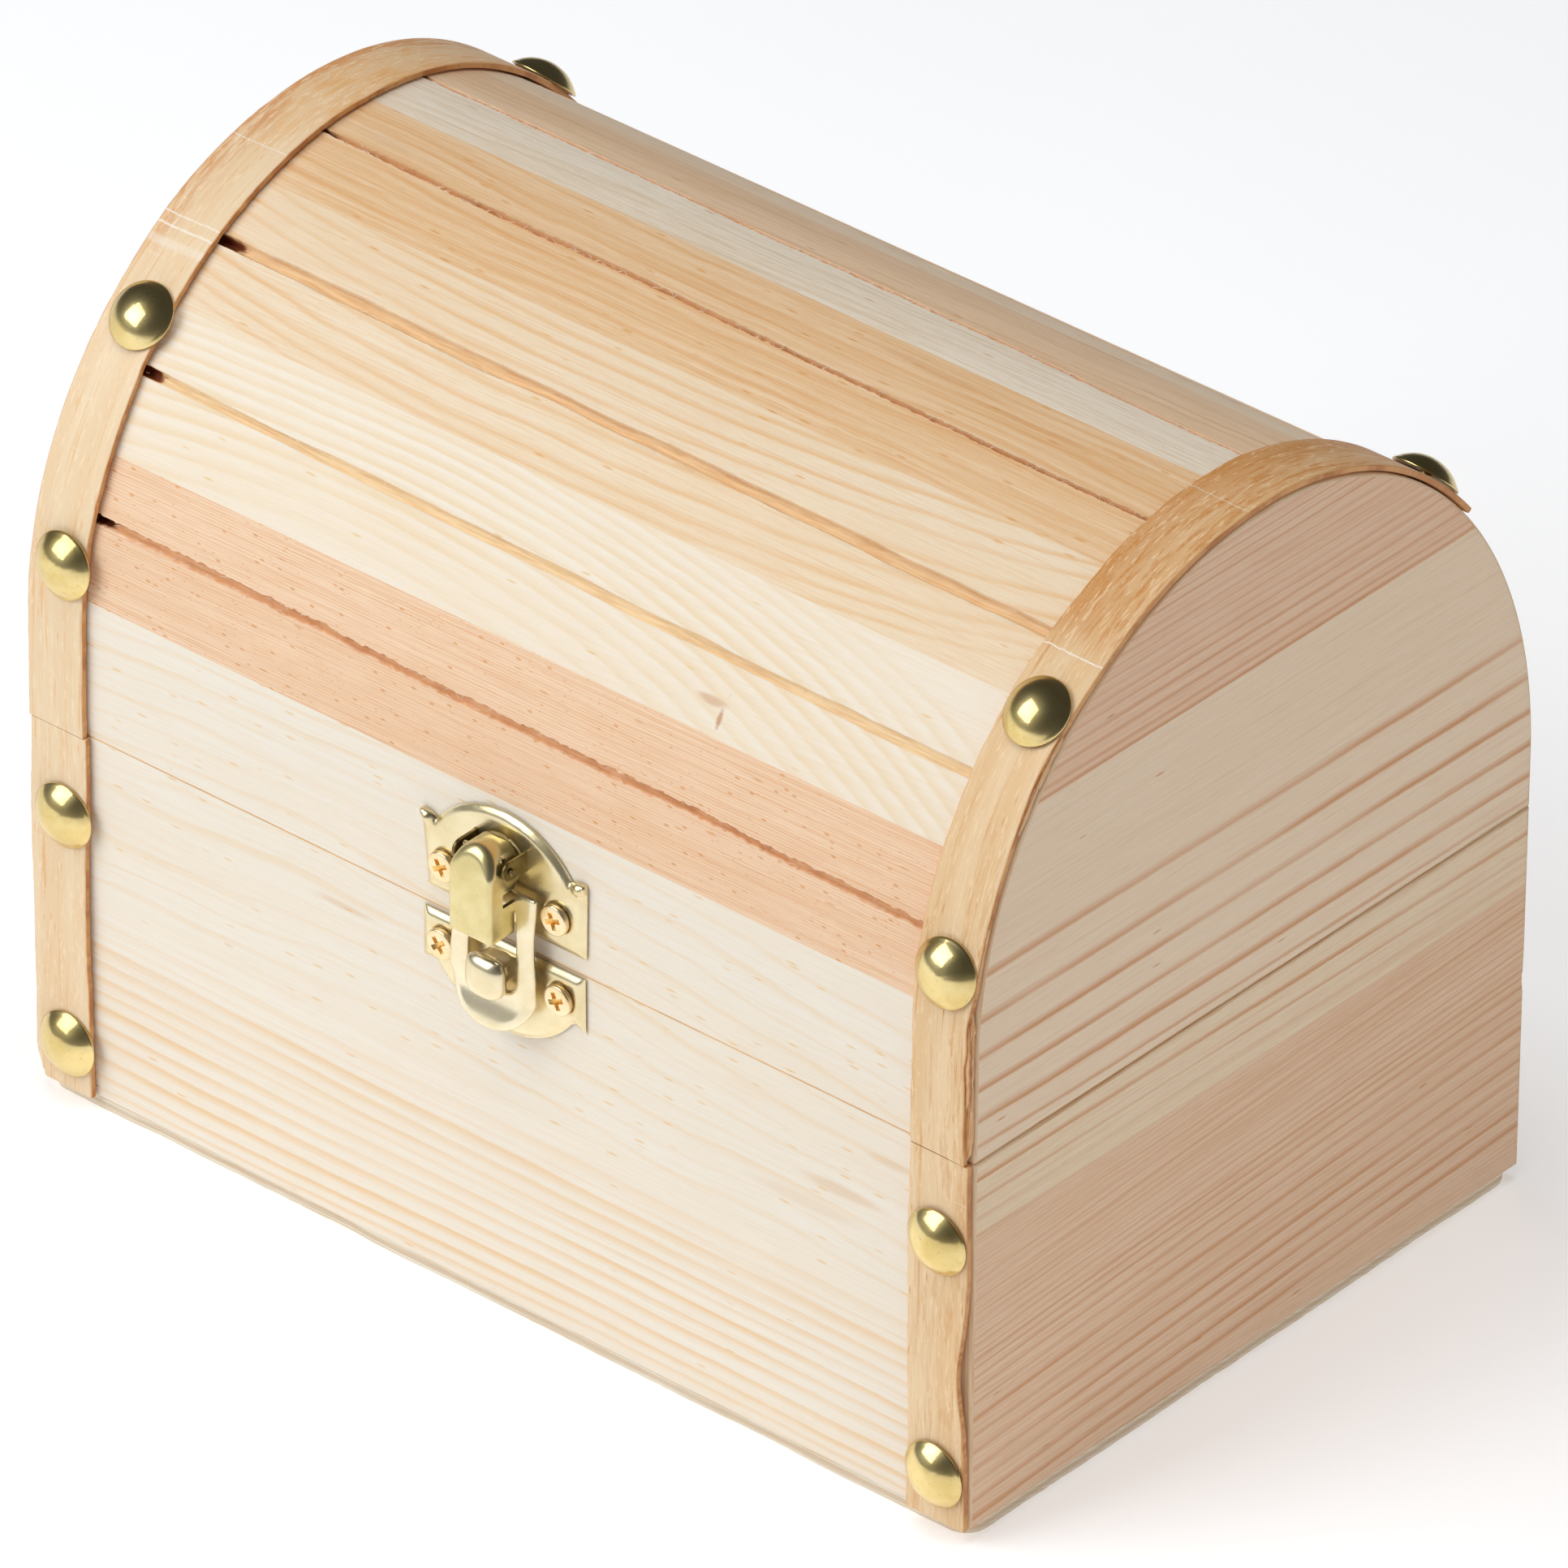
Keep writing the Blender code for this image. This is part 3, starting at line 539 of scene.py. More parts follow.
def wood(name, light, tone, line_col, seed, slope=0.0, rings=None, bow=0.0, lines=None, fine=0.0, fine_gap=1.2,
         band=0.25, band_gap=9.0, flecks=0.2, specks=0.0, warp=1.0, fibre=0.5, line_mix=0.75, scuff=0.1, rough=0.62,
         cut_col=None, stretch=1.0, u0=0.0, patches=(), ribs=None):
    """Planed softwood. u runs along the grain and v across it, both in millimetres."""
    N = Nodes(name)
    u, v = N.uv()
    s = seed * 7.31
    line_col = tuple(c * k for c, k in zip(line_col, (0.96, 0.90, 0.70)))
    line_mix = min(1.0, line_mix * 1.4)
    big = N.noise(N.vec(N.mul(u, 0.011), N.mul(v, 0.035), s), 1.0, 1.5, 0.45)
    mid = N.noise(N.vec(N.mul(u, 0.05), N.mul(v, 0.12), s + 3.1), 1.0, 2.0, 0.5)
    jit = N.noise(N.vec(N.mul(u, 0.55), N.mul(v, 1.1), s + 5.7), 1.0, 2.0, 0.6)
    shift = N.add(N.mul(N.math("SUBTRACT", big, 0.5), 5.5 * warp), N.mul(N.math("SUBTRACT", mid, 0.5), 1.3 * warp),
                  N.mul(N.math("SUBTRACT", jit, 0.5), 0.22))
    du = N.math("SUBTRACT", u, u0)
    t = N.add(v, N.mul(du, slope))
    if bow:
        t = N.add(t, N.mul(N.mul(du, du), bow))
    if rings:
        cu, cv, ku = rings
        a = N.mul(N.math("SUBTRACT", u, cu), ku)
        b = N.math("SUBTRACT", v, cv)
        t = N.math("SQRT", N.add(N.mul(a, a), N.mul(b, b), 0.5))
    t = N.add(t, shift)
    # early and late wood, broad
    wide = N.noise(N.vec(N.mul(t, 1.0 / band_gap), N.mul(u, 0.006), s + 11.0), 1.0, 2.0, 0.55)
    col = N.mix(N.span(wide, 0.36, 0.66, 0.0, band * 2.0), light, tone)
    lw = None
    if lines:
        lw = line_sets(N, t, lines)
        # the line's strength drifts along the board
        drift = N.span(N.noise(N.vec(N.mul(u, 0.03), N.mul(v, 0.09), s + 21.0), 1.0, 1.0), 0.3, 0.65, 0.55, 1.0)
        lw = N.mul(lw, drift)
        col = N.mix(N.mul(lw, line_mix), col, line_col)
    if fine:
        n1 = N.noise(N.vec(N.mul(t, 1.0 / fine_gap), N.mul(u, 0.004), s + 31.0), 1.0, 3.0, 0.7)
        fl = N.span(n1, 0.5, 0.66, 0.0, fine)
        col = N.mix(fl, col, line_col)
        lw = fl if lw is None else N.math("MAXIMUM", lw, fl)
    # fibres
    f1 = N.noise(N.vec(N.mul(u, 0.09 / stretch), N.mul(v, 4.2), s + 41.0), 1.0, 3.0, 0.65)
    f2 = N.noise(N.vec(N.mul(u, 0.35 / stretch), N.mul(v, 11.0), s + 43.0), 1.0, 2.0, 0.6)
    fib = N.add(N.mul(f1, 0.65), N.mul(f2, 0.35))
    col = N.mix(N.span(fib, 0.45, 0.68, 0.0, fibre * 0.62), col, N.mix(0.6, tone, line_col))
    col = N.mix(N.span(fib, 0.46, 0.26, 0.0, fibre * 0.55), col, tuple(min(1.0, c * 1.09) for c in light))
    # hair lines: the finest fibres, long and thin
    hair = N.noise(N.vec(N.mul(u, 0.045 / stretch), N.mul(N.add(v, N.mul(shift, 0.35)), 3.1), s + 47.0), 1.0, 4.0, 0.75)
    col = N.mix(N.span(hair, 0.50, 0.64, 0.0, fibre * 0.5), col, N.mix(0.75, tone, line_col))
    # pores: short ticks
    pore = N.noise(N.vec(N.mul(u, 0.9), N.mul(v, 7.5), s + 49.0), 1.0, 2.0, 0.55)
    col = N.mix(N.span(pore, 0.62, 0.74, 0.0, fibre * 0.45), col, N.mix(0.8, tone, line_col))
    if ribs:
        ph = N.add(N.mul(N.add(v, N.mul(u, slope), N.mul(shift, 0.5)), 6.2832 / ribs[0]),
                   N.mul(N.noise(N.vec(N.mul(u, 0.08), N.mul(v, 0.9), s + 45.0), 1.0, 2.0, 0.6), 9.0))
        fade = N.span(N.noise(N.vec(N.mul(u, 0.12), N.mul(v, 0.5), s + 46.0), 1.0, 2.0, 0.6), 0.3, 0.7, 0.35, 1.0)
        col = N.mix(N.mul(N.span(N.math("SINE", ph), 0.1, 1.0, 0.0, ribs[1]), fade), col, N.mix(0.85, tone, line_col))
    # resin flecks: short dashes along the grain
    if flecks:
        dist, rnd = N.cells(N.vec(N.mul(u, 0.20), N.mul(v, 1.15), s + 51.0), 1.0)
        sep = N.t.nodes.new("ShaderNodeSeparateColor")
        N.set(sep.inputs[0], rnd)
        here = N.math("GREATER_THAN", sep.outputs[0], 1.0 - flecks * 0.55)
        dash = N.mul(N.span(dist, 0.26, 0.08, 0.0, 0.75), here)
        col = N.mix(dash, col, line_col)
    if specks:
        for fu, fv, share, st, off in ((0.42, 1.25, specks, 0.85, 61.0), (0.8, 2.3, specks * 0.8, 0.6, 64.0)):
            dist, rnd = N.cells(N.vec(N.mul(u, fu), N.mul(N.add(v, N.mul(u, 0.05)), fv), s + off), 1.0)
            sep = N.t.nodes.new("ShaderNodeSeparateColor")
            N.set(sep.inputs[0], rnd)
            here = N.math("GREATER_THAN", sep.outputs[1], 1.0 - share)
            dot = N.mul(N.span(dist, 0.26, 0.10, 0.0, st), here)
            col = N.mix(dot, col, N.mix(sep.outputs[2], srgb(226, 160, 100), srgb(206, 132, 82)))
    for pu, pv, ru, rv, pcol, st in patches:
        a = N.math("DIVIDE", N.math("SUBTRACT", u, pu), ru)
        b = N.math("DIVIDE", N.add(N.math("SUBTRACT", v, pv), N.mul(N.math("SUBTRACT", mid, 0.5), 1.5)), rv)
        d = N.math("SQRT", N.add(N.mul(a, a), N.mul(b, b)))
        d = N.add(d, N.mul(N.math("SUBTRACT", f1, 0.5), 0.8))
        col = N.mix(N.span(d, 1.0, 0.35, 0.0, st), col, pcol)
    # handling: faint pale scuffs and a little dust colour
    sc = N.noise(N.vec(N.mul(u, 0.06), N.mul(v, 0.10), s + 71.0), 1.0, 5.0, 0.7)
    col = N.mix(N.span(sc, 0.56, 0.72, 0.0, scuff), col, tuple(min(1.0, c * 1.12 + 0.02) for c in light))
    inside = N.attr("cut")
    if cut_col:
        rag = N.noise(N.vec(N.mul(u, 0.16), N.mul(v, 2.6), s + 81.0), 1.0, 3.0, 0.6)
        cc = N.mix(N.span(rag, 0.38, 0.66), cut_col, tuple(c * k for c, k in zip(cut_col, (0.88, 0.80, 0.72))))
        col = N.mix(N.math("MINIMUM", inside, 1.0), col, cc)
        # the deep sawn entry at one end: a dark red-brown, painted shade in the hole
        col = N.mix(N.span(N.add(inside, N.mul(N.math("SUBTRACT", rag, 0.5), 0.8)), 1.05, 1.7), col, srgb(128, 66, 36))
    h = N.add(N.mul(fib, 0.7), N.mul(N.noise(N.vec(N.mul(u, 1.3), N.mul(v, 6.0), s + 91.0), 1.0, 3.0, 0.7), 0.5))
    if lw is not None:
        h = N.add(h, N.mul(lw, 0.35))
    nrm = N.bump(h, 0.00009, 0.55)
    rg = N.add(rough, N.mul(N.math("SUBTRACT", fib, 0.5), 0.25))
    return N.done(col, rg, nrm, spec=0.28)


def end_grain(name, light, dark, seed):
    N = Nodes(name)
    tc = N.t.nodes.new("ShaderNodeTexCoord")
    v = tc.outputs["Object"]
    m = N.t.nodes.new("ShaderNodeVectorMath")
    m.operation = "SCALE"
    m.inputs[3].default_value = 1000.0
    N.t.links.new(v, m.inputs[0])
    a = N.noise(m.outputs[0], 0.5, 3.0, 0.6)
    b = N.noise(m.outputs[0], 5.0, 2.0, 0.7)
    col = N.mix(N.span(a, 0.35, 0.7), light, dark)
    col = N.mix(N.span(b, 0.5, 0.8, 0.0, 0.5), col, tuple(c * 0.6 for c in dark))
    return N.done(col, 0.8, N.bump(b, 0.0001, 0.6), spec=0.2)


def brass(name, col, deep, rough=0.16, satin=0.12, marks=0.35, seed=1, worn=0.3, haze_rough=0.25, haze_share=0.35, pit_lo=0.66):
    """Brass-plated pressed steel: soft satin variation, fine scratches and small pits."""
    N = Nodes(name)
    tc = N.t.nodes.new("ShaderNodeTexCoord")
    m = N.t.nodes.new("ShaderNodeVectorMath")
    m.operation = "SCALE"
    m.inputs[3].default_value = 1000.0
    N.t.links.new(tc.outputs["Object"], m.inputs[0])
    p = m.outputs[0]
    big = N.noise(p, 0.16 + 0.01 * seed, 3.0, 0.6)
    fine = N.noise(p, 5.5, 3.0, 0.7)
    pit = N.noise(p, 1.9, 4.0, 0.75)
    st = N.t.nodes.new("ShaderNodeVectorMath")
    st.operation = "MULTIPLY"
    st.inputs[1].default_value = (0.5, 6.0, 9.0)
    N.t.links.new(p, st.inputs[0])
    scr = N.noise(st.outputs[0], 0.8, 2.0, 0.6)
    c = N.mix(N.span(big, 0.3, 0.7), col, deep)
    c = N.mix(N.span(pit, pit_lo, pit_lo + 0.12, 0.0, marks), c, tuple(k * 0.32 for k in deep))
    c = N.mix(N.span(scr, 0.68, 0.80, 0.0, worn * 0.4), c, (0.93, 0.90, 0.80))
    r = N.add(rough, N.mul(N.math("SUBTRACT", big, 0.5), satin * 2), N.span(pit, 0.6, 0.8, 0.0, 0.18),
              N.span(fine, 0.5, 0.8, 0.0, 0.06))
    h = N.add(N.mul(fine, 0.25), N.mul(pit, 0.5), N.mul(scr, 0.2))
    nrm = N.bump(h, 0.00002, 0.5)
    N.done(c, r, nrm, metal=1.0)
    # a second, hazier lobe for the glow around the highlights
    haze = N.t.nodes.new("ShaderNodeBsdfPrincipled")
    N.set(haze.inputs["Base Color"], c)
    N.set(haze.inputs["Roughness"], N.add(r, haze_rough))
    N.set(haze.inputs["Metallic"], 1.0)
    N.set(haze.inputs["Normal"], nrm)
    both = N.t.nodes.new("ShaderNodeMixShader")
    both.inputs[0].default_value = haze_share
    N.t.links.new(N.bsdf.outputs[0], both.inputs[1])
    N.t.links.new(haze.outputs[0], both.inputs[2])
    N.t.links.new(both.outputs[0], N.out.inputs[0])
    return N.mat


LINE = srgb(222, 172, 122)
ORANGE = srgb(232, 178, 116)
CREAM = srgb(244, 229, 207)
CUT = srgb(205, 150, 105)

M = {}
# box front: lower board with long wavy rings, upper board nearly plain
M["base_low"] = wood("pine_front_low", srgb(243, 233, 218), srgb(242, 225, 202), srgb(241, 201, 152), 3, slope=0.006,
                     lines=[(29.3, 1.6, 0.35, 0.30), (27.0, 0.5, 0.25, 0.25), (25.4, 1.6, 0.4, 0.75), (22.9, 1.3, 0.35, 0.62),
                            (20.4, 1.2, 0.35, 0.68), (18.3, 0.8, 0.3, 0.45), (16.2, 1.3, 0.35, 0.85), (13.6, 1.1, 0.35, 0.7),
                            (11.2, 1.3, 0.4, 0.8), (8.3, 1.2, 0.4, 0.9), (5.6, 0.9, 0.35, 0.85), (3.7, 0.6, 0.3, 0.6)],
                     warp=0.60, flecks=0.10, fibre=0.42, band=0.2, line_mix=0.62, stretch=1.3)
M["base_up"] = wood("pine_front_up", srgb(242, 232, 217), srgb(242, 227, 206), srgb(241, 206, 160), 5, slope=0.045,
                    lines=[(35.4, 0.8, 0.4, 0.5), (38.6, 0.5, 0.3, 0.4), (42.5, 1.2, 0.4, 0.5), (45.8, 0.4, 0.3, 0.35), (49.6, 1.2, 0.4, 0.5),
                           (53.0, 0.4, 0.3, 0.35), (56.2, 1.0, 0.4, 0.5), (60.0, 0.5, 0.3, 0.35), (64.2, 1.1, 0.4, 0.45), (68.4, 0.5, 0.3, 0.4),
                           (72.3, 1.2, 0.4, 0.45), (76.0, 0.8, 0.4, 0.35)],
                    warp=2.3, flecks=0.5, fibre=0.42, band=0.25, line_mix=0.48, bow=0.0003, u0=10.0, cut_col=srgb(246, 212, 166),
                    patches=((-26.0, 51.0, 7.0, 0.7, srgb(222, 178, 132), 0.4), (58.0, 44.0, 9.0, 1.2, srgb(226, 190, 150), 0.5),
                             (66.0, 52.0, 5.0, 1.0, srgb(226, 190, 150), 0.4), (52.0, 40.0, 12.0, 1.5, srgb(230, 198, 160), 0.35)))
M["pink"] = wood("pine_pink", srgb(244, 212, 180), srgb(240, 200, 164), srgb(228, 168, 124), 7, slope=-0.012,
                 fine=0.25, fine_gap=0.55, warp=0.25, flecks=0.16, specks=0.34, fibre=0.7, ribs=(0.40, 0.55), band=0.3, band_gap=5.0,
                 scuff=0.22, cut_col=srgb(234, 182, 136), stretch=1.2)
M["pale"] = wood("pine_pale", srgb(244, 231, 212), srgb(243, 224, 199), srgb(239, 207, 160), 11, rings=(-38.0, 74.0, 0.36),
                 lines=[(27.0, 0.5, 1.1, 0.45), (29.6, 0.4, 1.0, 0.55), (32.0, 0.4, 1.2, 0.75), (34.2, 0.4, 1.2, 0.8),
                        (36.2, 0.3, 1.1, 0.85), (38.1, 0.3, 1.1, 0.85), (40.0, 0.3, 1.1, 0.8), (41.8, 0.3, 1.0, 0.8),
                        (43.5, 0.3, 1.0, 0.8), (45.2, 0.3, 1.0, 0.75), (46.8, 0.3, 0.9, 0.7), (48.4, 0.3, 0.9, 0.7),
                        (50.0, 0.3, 0.9, 0.6), (51.6, 0.3, 0.9, 0.6), (53.2, 0.3, 0.8, 0.5)],
                 warp=0.75, flecks=0.16, fibre=0.42, band=0.18, line_mix=0.46, cut_col=srgb(246, 213, 166),
                 patches=((29.5, 103.4, 3.2, 0.8, srgb(205, 150, 96), 0.55), (31.5, 101.6, 0.5, 1.6, srgb(190, 128, 80), 0.7)))
M["cream"] = wood("pine_cream", srgb(242, 222, 194), srgb(239, 213, 178), srgb(234, 182, 120), 13, slope=0.045,
                  lines=[(118.4, 0.3, 0.6, 0.5), (120.3, 0.3, 0.7, 0.6), (122.0, 0.4, 0.9, 0.65), (124.6, 0.4, 0.8, 0.8), (127.6, 0.4, 0.9, 0.8),
                         (131.5, 0.4, 0.9, 0.7), (134.0, 0.4, 0.8, 0.75), (136.8, 0.4, 0.9, 0.7), (139.0, 0.4, 0.8, 0.6), (142.0, 0.5, 1.1, 0.5)],
                  bow=-0.0011, u0=-30.0, warp=0.9, flecks=0.14, fibre=0.7, band=0.28, line_mix=0.6, cut_col=srgb(238, 198, 150))
M["tan"] = wood("pine_tan", srgb(240, 209, 170), srgb(234, 197, 154), srgb(224, 166, 106), 17, slope=0.02,
                lines=[(141.5 + 1.9 * k, 0.5, 0.8, 0.30 + 0.25 * math.sin(k * 2.1) ** 2) for k in range(12)],
                fine=0.30, fine_gap=1.3, warp=1.5, flecks=0.42, fibre=1.0, band=0.35, band_gap=4.0, cut_col=srgb(222, 168, 118),
                patches=((28.0, 158.0, 16.0, 0.9, srgb(214, 156, 98), 0.45), (44.0, 156.2, 14.0, 0.7, srgb(214, 156, 98), 0.4)))
M["grey"] = wood("pine_grey", srgb(240, 227, 208), srgb(230, 210, 183), srgb(212, 184, 150), 19, slope=-0.05,
                 fine=0.3, fine_gap=1.6, warp=0.8, flecks=0.1, fibre=1.0, band=0.2, cut_col=srgb(234, 180, 132), scuff=0.3)
M["rose"] = wood("pine_rose", srgb(240, 210, 176), srgb(230, 194, 156), srgb(212, 160, 116), 23, slope=-0.02,
                 fine=0.4, fine_gap=1.0, warp=0.6, flecks=0.12, fibre=0.8, band=0.3, cut_col=srgb(222, 168, 122))
M["back1"] = wood("pine_back_a", srgb(243, 222, 194), srgb(238, 208, 172), srgb(222, 168, 118), 29, slope=0.03,
                  lines=[(190.0 + 3.1 * k, 0.5, 0.8, 0.45 + 0.2 * math.sin(k * 2.3)) for k in range(30)],
                  warp=0.8, flecks=0.16, fibre=0.7, cut_col=CUT)
M["back2"] = wood("pine_back_b", srgb(240, 212, 178), srgb(234, 198, 160), srgb(210, 152, 108), 31, slope=-0.02,
                  fine=0.35, fine_gap=1.2, warp=0.7, flecks=0.2, fibre=0.8, cut_col=CUT)
M["wall_back_low"] = wood("pine_back_low", srgb(242, 220, 190), srgb(238, 208, 172), srgb(220, 164, 114), 37, slope=0.01,
                          lines=[(4.0 + 2.9 * k, 0.5, 1.0, 0.5 + 0.25 * math.sin(k * 1.7)) for k in range(10)],
                          warp=0.6, flecks=0.12, fibre=0.6)
M["wall_back_up"] = wood("pine_back_up", srgb(245, 230, 208), srgb(243, 220, 190), srgb(234, 190, 140), 41, rings=(-90.0, 40.0, 0.3),
                         lines=[(10.0 + 4.3 * k, 0.6, 1.2, 0.4) for k in range(10)], warp=1.0, flecks=0.2, fibre=0.6)
M["inner"] = wood("pine_inside", srgb(240, 216, 184), srgb(234, 203, 165), srgb(212, 156, 106), 43, slope=0.015,
                  fine=0.3, fine_gap=1.9, warp=0.9, flecks=0.25, fibre=0.9, rough=0.72, scuff=0.05)
# right end, seen in shade: (y from the front, z)
M["end_low"] = wood("pine_end_low", srgb(240, 209, 178), srgb(234, 198, 163), srgb(214, 150, 106), 47, slope=-0.032,
                    lines=[(44.9, 0.3, 0.4, 0.35), (43.8, 0.3, 0.4, 0.35), (42.0, 0.35, 0.5, 0.6), (40.8, 0.3, 0.3, 0.4),
                           (39.8, 0.3, 0.3, 0.35), (38.7, 0.3, 0.3, 0.4), (37.6, 0.3, 0.3, 0.3), (36.1, 0.3, 0.4, 0.4),
                           (35.0, 0.3, 0.4, 0.45), (33.8, 0.3, 0.3, 0.35), (32.7, 0.35, 0.45, 0.65), (31.5, 0.3, 0.4, 0.6),
                           (30.0, 0.3, 0.6, 0.65), (28.1, 0.3, 0.6, 0.65), (26.1, 0.3, 0.6, 0.55), (23.6, 0.35, 0.8, 0.8),
                           (21.1, 0.3, 0.6, 0.55), (18.6, 0.35, 0.8, 0.85), (16.1, 0.35, 0.8, 0.85), (13.8, 0.3, 0.8, 0.65),
                           (11.3, 0.35, 0.9, 0.9), (8.6, 0.4, 0.9, 0.85)],
                    bow=0.00012, u0=110.0, warp=0.16, flecks=0.05, fibre=0.6, band=0.2, band_gap=6.0, line_mix=0.72, ribs=(0.75, 0.22))
M["end_mid"] = wood("pine_end_mid", srgb(243, 223, 192), srgb(240, 214, 180), srgb(214, 150, 104), 53, slope=0.014,
                    lines=[(47.0, 0.5, 0.5, 0.55), (49.6, 1.0, 0.5, 0.3), (52.3, 0.35, 0.5, 0.6), (55.4, 0.35, 0.8, 0.95)],
                    warp=0.18, flecks=0.04, fibre=0.6, band=0.25, band_gap=7.0, line_mix=0.8)
M["end_lid_low"] = wood("pine_end_lid", srgb(244, 222, 194), srgb(241, 214, 184), srgb(214, 150, 102), 59, slope=0.011,
                        lines=[(60.4, 0.4, 0.6, 0.75), (64.1, 0.4, 1.2, 0.9), (68.9, 0.4, 1.1, 0.9), (73.9, 0.45, 1.1, 0.95),
                               (79.2, 0.5, 1.2, 0.95), (85.7, 0.5, 1.3, 1.0)],
                        warp=0.34, flecks=0.03, fibre=0.4, band=0.15, band_gap=12.0, line_mix=0.8)
M["end_lid_top"] = wood("pine_end_top", srgb(240, 206, 176), srgb(236, 198, 164), srgb(214, 152, 114), 61, slope=0.0,
                        lines=[(106.6, 0.3, 0.6, 0.95), (107.9, 0.3, 0.45, 0.68), (110.0, 0.3, 0.55, 0.75), (112.0, 0.3, 0.55, 0.83),
                               (113.9, 0.3, 0.5, 0.75), (115.4, 0.3, 0.45, 0.75), (116.8, 0.25, 0.35, 0.52), (118.1, 0.25, 0.35, 0.52),
                               (119.4, 0.25, 0.35, 0.45), (120.5, 0.25, 0.35, 0.60), (121.8, 0.25, 0.35, 0.52), (123.6, 0.3, 0.4, 0.75),
                               (124.9, 0.25, 0.35, 0.52), (126.2, 0.25, 0.35, 0.52), (127.4, 0.25, 0.35, 0.45)],
                        warp=0.16, flecks=0.04, fibre=0.55, band=0.2, band_gap=5.0, line_mix=0.75, ribs=(0.7, 0.2))
M["edge"] = wood("pine_edge", srgb(240, 214, 180), srgb(234, 202, 164), srgb(212, 156, 108), 67, slope=0.01,
                 fine=0.35, fine_gap=0.9, warp=0.5, flecks=0.25, fibre=0.9, rough=0.7, scuff=0.2)
M["veneer_l"] = None


def veneer(name, light, tone, streak, seed, hot=None, mottle=0.4, hot_mix=0.55, outer=None, scores=()):
    """Thin honey-coloured strip; u across the strip, v along it (along the grain)."""
    N = Nodes(name)
    u, v = N.uv()
    s = seed * 5.17
    big = N.noise(N.vec(N.mul(u, 0.25), N.mul(v, 0.012), s), 1.0, 3.0, 0.6)
    col = N.mix(N.span(big, 0.38, 0.64), light, tone)
    st = N.noise(N.vec(N.mul(u, 1.7), N.mul(v, 0.05), s + 3.0), 1.0, 3.0, 0.62)
    gate = N.span(N.noise(N.vec(N.mul(u, 0.22), N.mul(v, 0.025), s + 9.0), 1.0, 1.0), 0.36, 0.56)
    col = N.mix(N.mul(N.span(st, 0.55, 0.68, 0.0, 0.8), gate), col, streak)
    fib = N.noise(N.vec(N.mul(u, 7.0), N.mul(v, 0.14), s + 5.0), 1.0, 3.0, 0.65)
    col = N.mix(N.span(fib, 0.45, 0.72, 0.0, 0.55), col, tone)
    # mottled streaks, a few millimetres long
    mot = N.noise(N.vec(N.mul(u, 1.5), N.mul(v, 0.17), s + 15.0), 1.0, 3.5, 0.62)
    patch = N.noise(N.vec(N.mul(u, 0.12), N.mul(v, 0.035), s + 17.0), 1.0, 2.0, 0.5)
    share = N.span(patch, 0.42, 0.66, 0.0, mottle)
    if hot:
        share = N.math("MAXIMUM", share, N.mul(N.span(v, hot[0], hot[1]), 0.8))
        worn = N.span(N.add(u, N.mul(N.math("SUBTRACT", patch, 0.5), 8.0)), HALF + 1.0, HALF - BAND_W - 1.0, 0.25, 0.9)
        col = N.mix(N.mul(N.span(v, hot[0], hot[1]), worn), col, N.mix(hot_mix, tone, streak))
    col = N.mix(N.mul(N.span(mot, 0.46, 0.64), share), col, streak)
    if outer:
        rim = N.span(N.add(u, N.mul(N.math("SUBTRACT", patch, 0.5), 7.0)), HALF - 5.0, HALF - 1.6)
        col = N.mix(N.mul(N.mul(N.span(v, outer[0], outer[1]), rim), N.span(mot, 0.38, 0.58, 0.1, 0.85)), col, srgb(216, 152, 98))
    light2 = N.noise(N.vec(N.mul(u, 2.6), N.mul(v, 0.42), s + 19.0), 1.0, 2.0, 0.6)
    col = N.mix(N.span(light2, 0.56, 0.68, 0.0, 0.6), col, tuple(min(1, c * 1.08) for c in light))
    fine = N.noise(N.vec(N.mul(u, 3.2), N.mul(v, 2.4), s + 6.0), 1.0, 3.0, 0.7)
    col = N.mix(N.span(fine, 0.5, 0.8, 0.0, 0.25), col, tuple(min(1, c * 1.12) for c in light))
    # short brown ticks along the grain
    dist, rnd = N.cells(N.vec(N.mul(u, 1.5), N.mul(v, 0.28), s + 7.0), 1.0)
    sep = N.t.nodes.new("ShaderNodeSeparateColor")
    N.set(sep.inputs[0], rnd)
    dash = N.mul(N.span(dist, 0.30, 0.08, 0.0, 0.6), N.math("GREATER_THAN", sep.outputs[0], 0.84))
    col = N.mix(dash, col, streak)
    # pale scratches straight across the strip
    cross = N.noise(N.vec(N.mul(u, 0.03), N.mul(v, 2.1), s + 8.0), 1.0, 1.0, 0.5)
    where = N.span(N.noise(N.vec(N.mul(u, 0.10), N.mul(v, 0.03), s + 13.0), 1.0, 1.0), 0.56, 0.68)
    col = N.mix(N.mul(N.span(cross, 0.70, 0.76, 0.0, 0.7), where), col, srgb(250, 238, 222))
    wob = N.mul(N.math("SUBTRACT", N.noise(N.vec(N.mul(u, 0.5), s, s + 31.0), 1.0, 2.0), 0.5), 0.7)
    for v0, wide, strong in scores:
        off = N.math("ABSOLUTE", N.math("SUBTRACT", N.add(v, wob), v0))
        col = N.mix(N.mul(N.span(off, wide, wide * 0.3, 0.0, strong), N.span(fine, 0.35, 0.55, 0.5, 1.0)), col, srgb(252, 242, 228))
    edge = N.attr("cut")
    col = N.mix(edge, col, N.mix(N.span(fib, 0.4, 0.65), srgb(222, 164, 104), srgb(192, 126, 72)))
    h = N.add(N.mul(fib, 0.8), N.mul(fine, 0.4))
    return N.done(col, N.add(0.5, N.mul(N.math("SUBTRACT", fib, 0.5), 0.2)), N.bump(h, 0.00009, 0.5), spec=0.32)


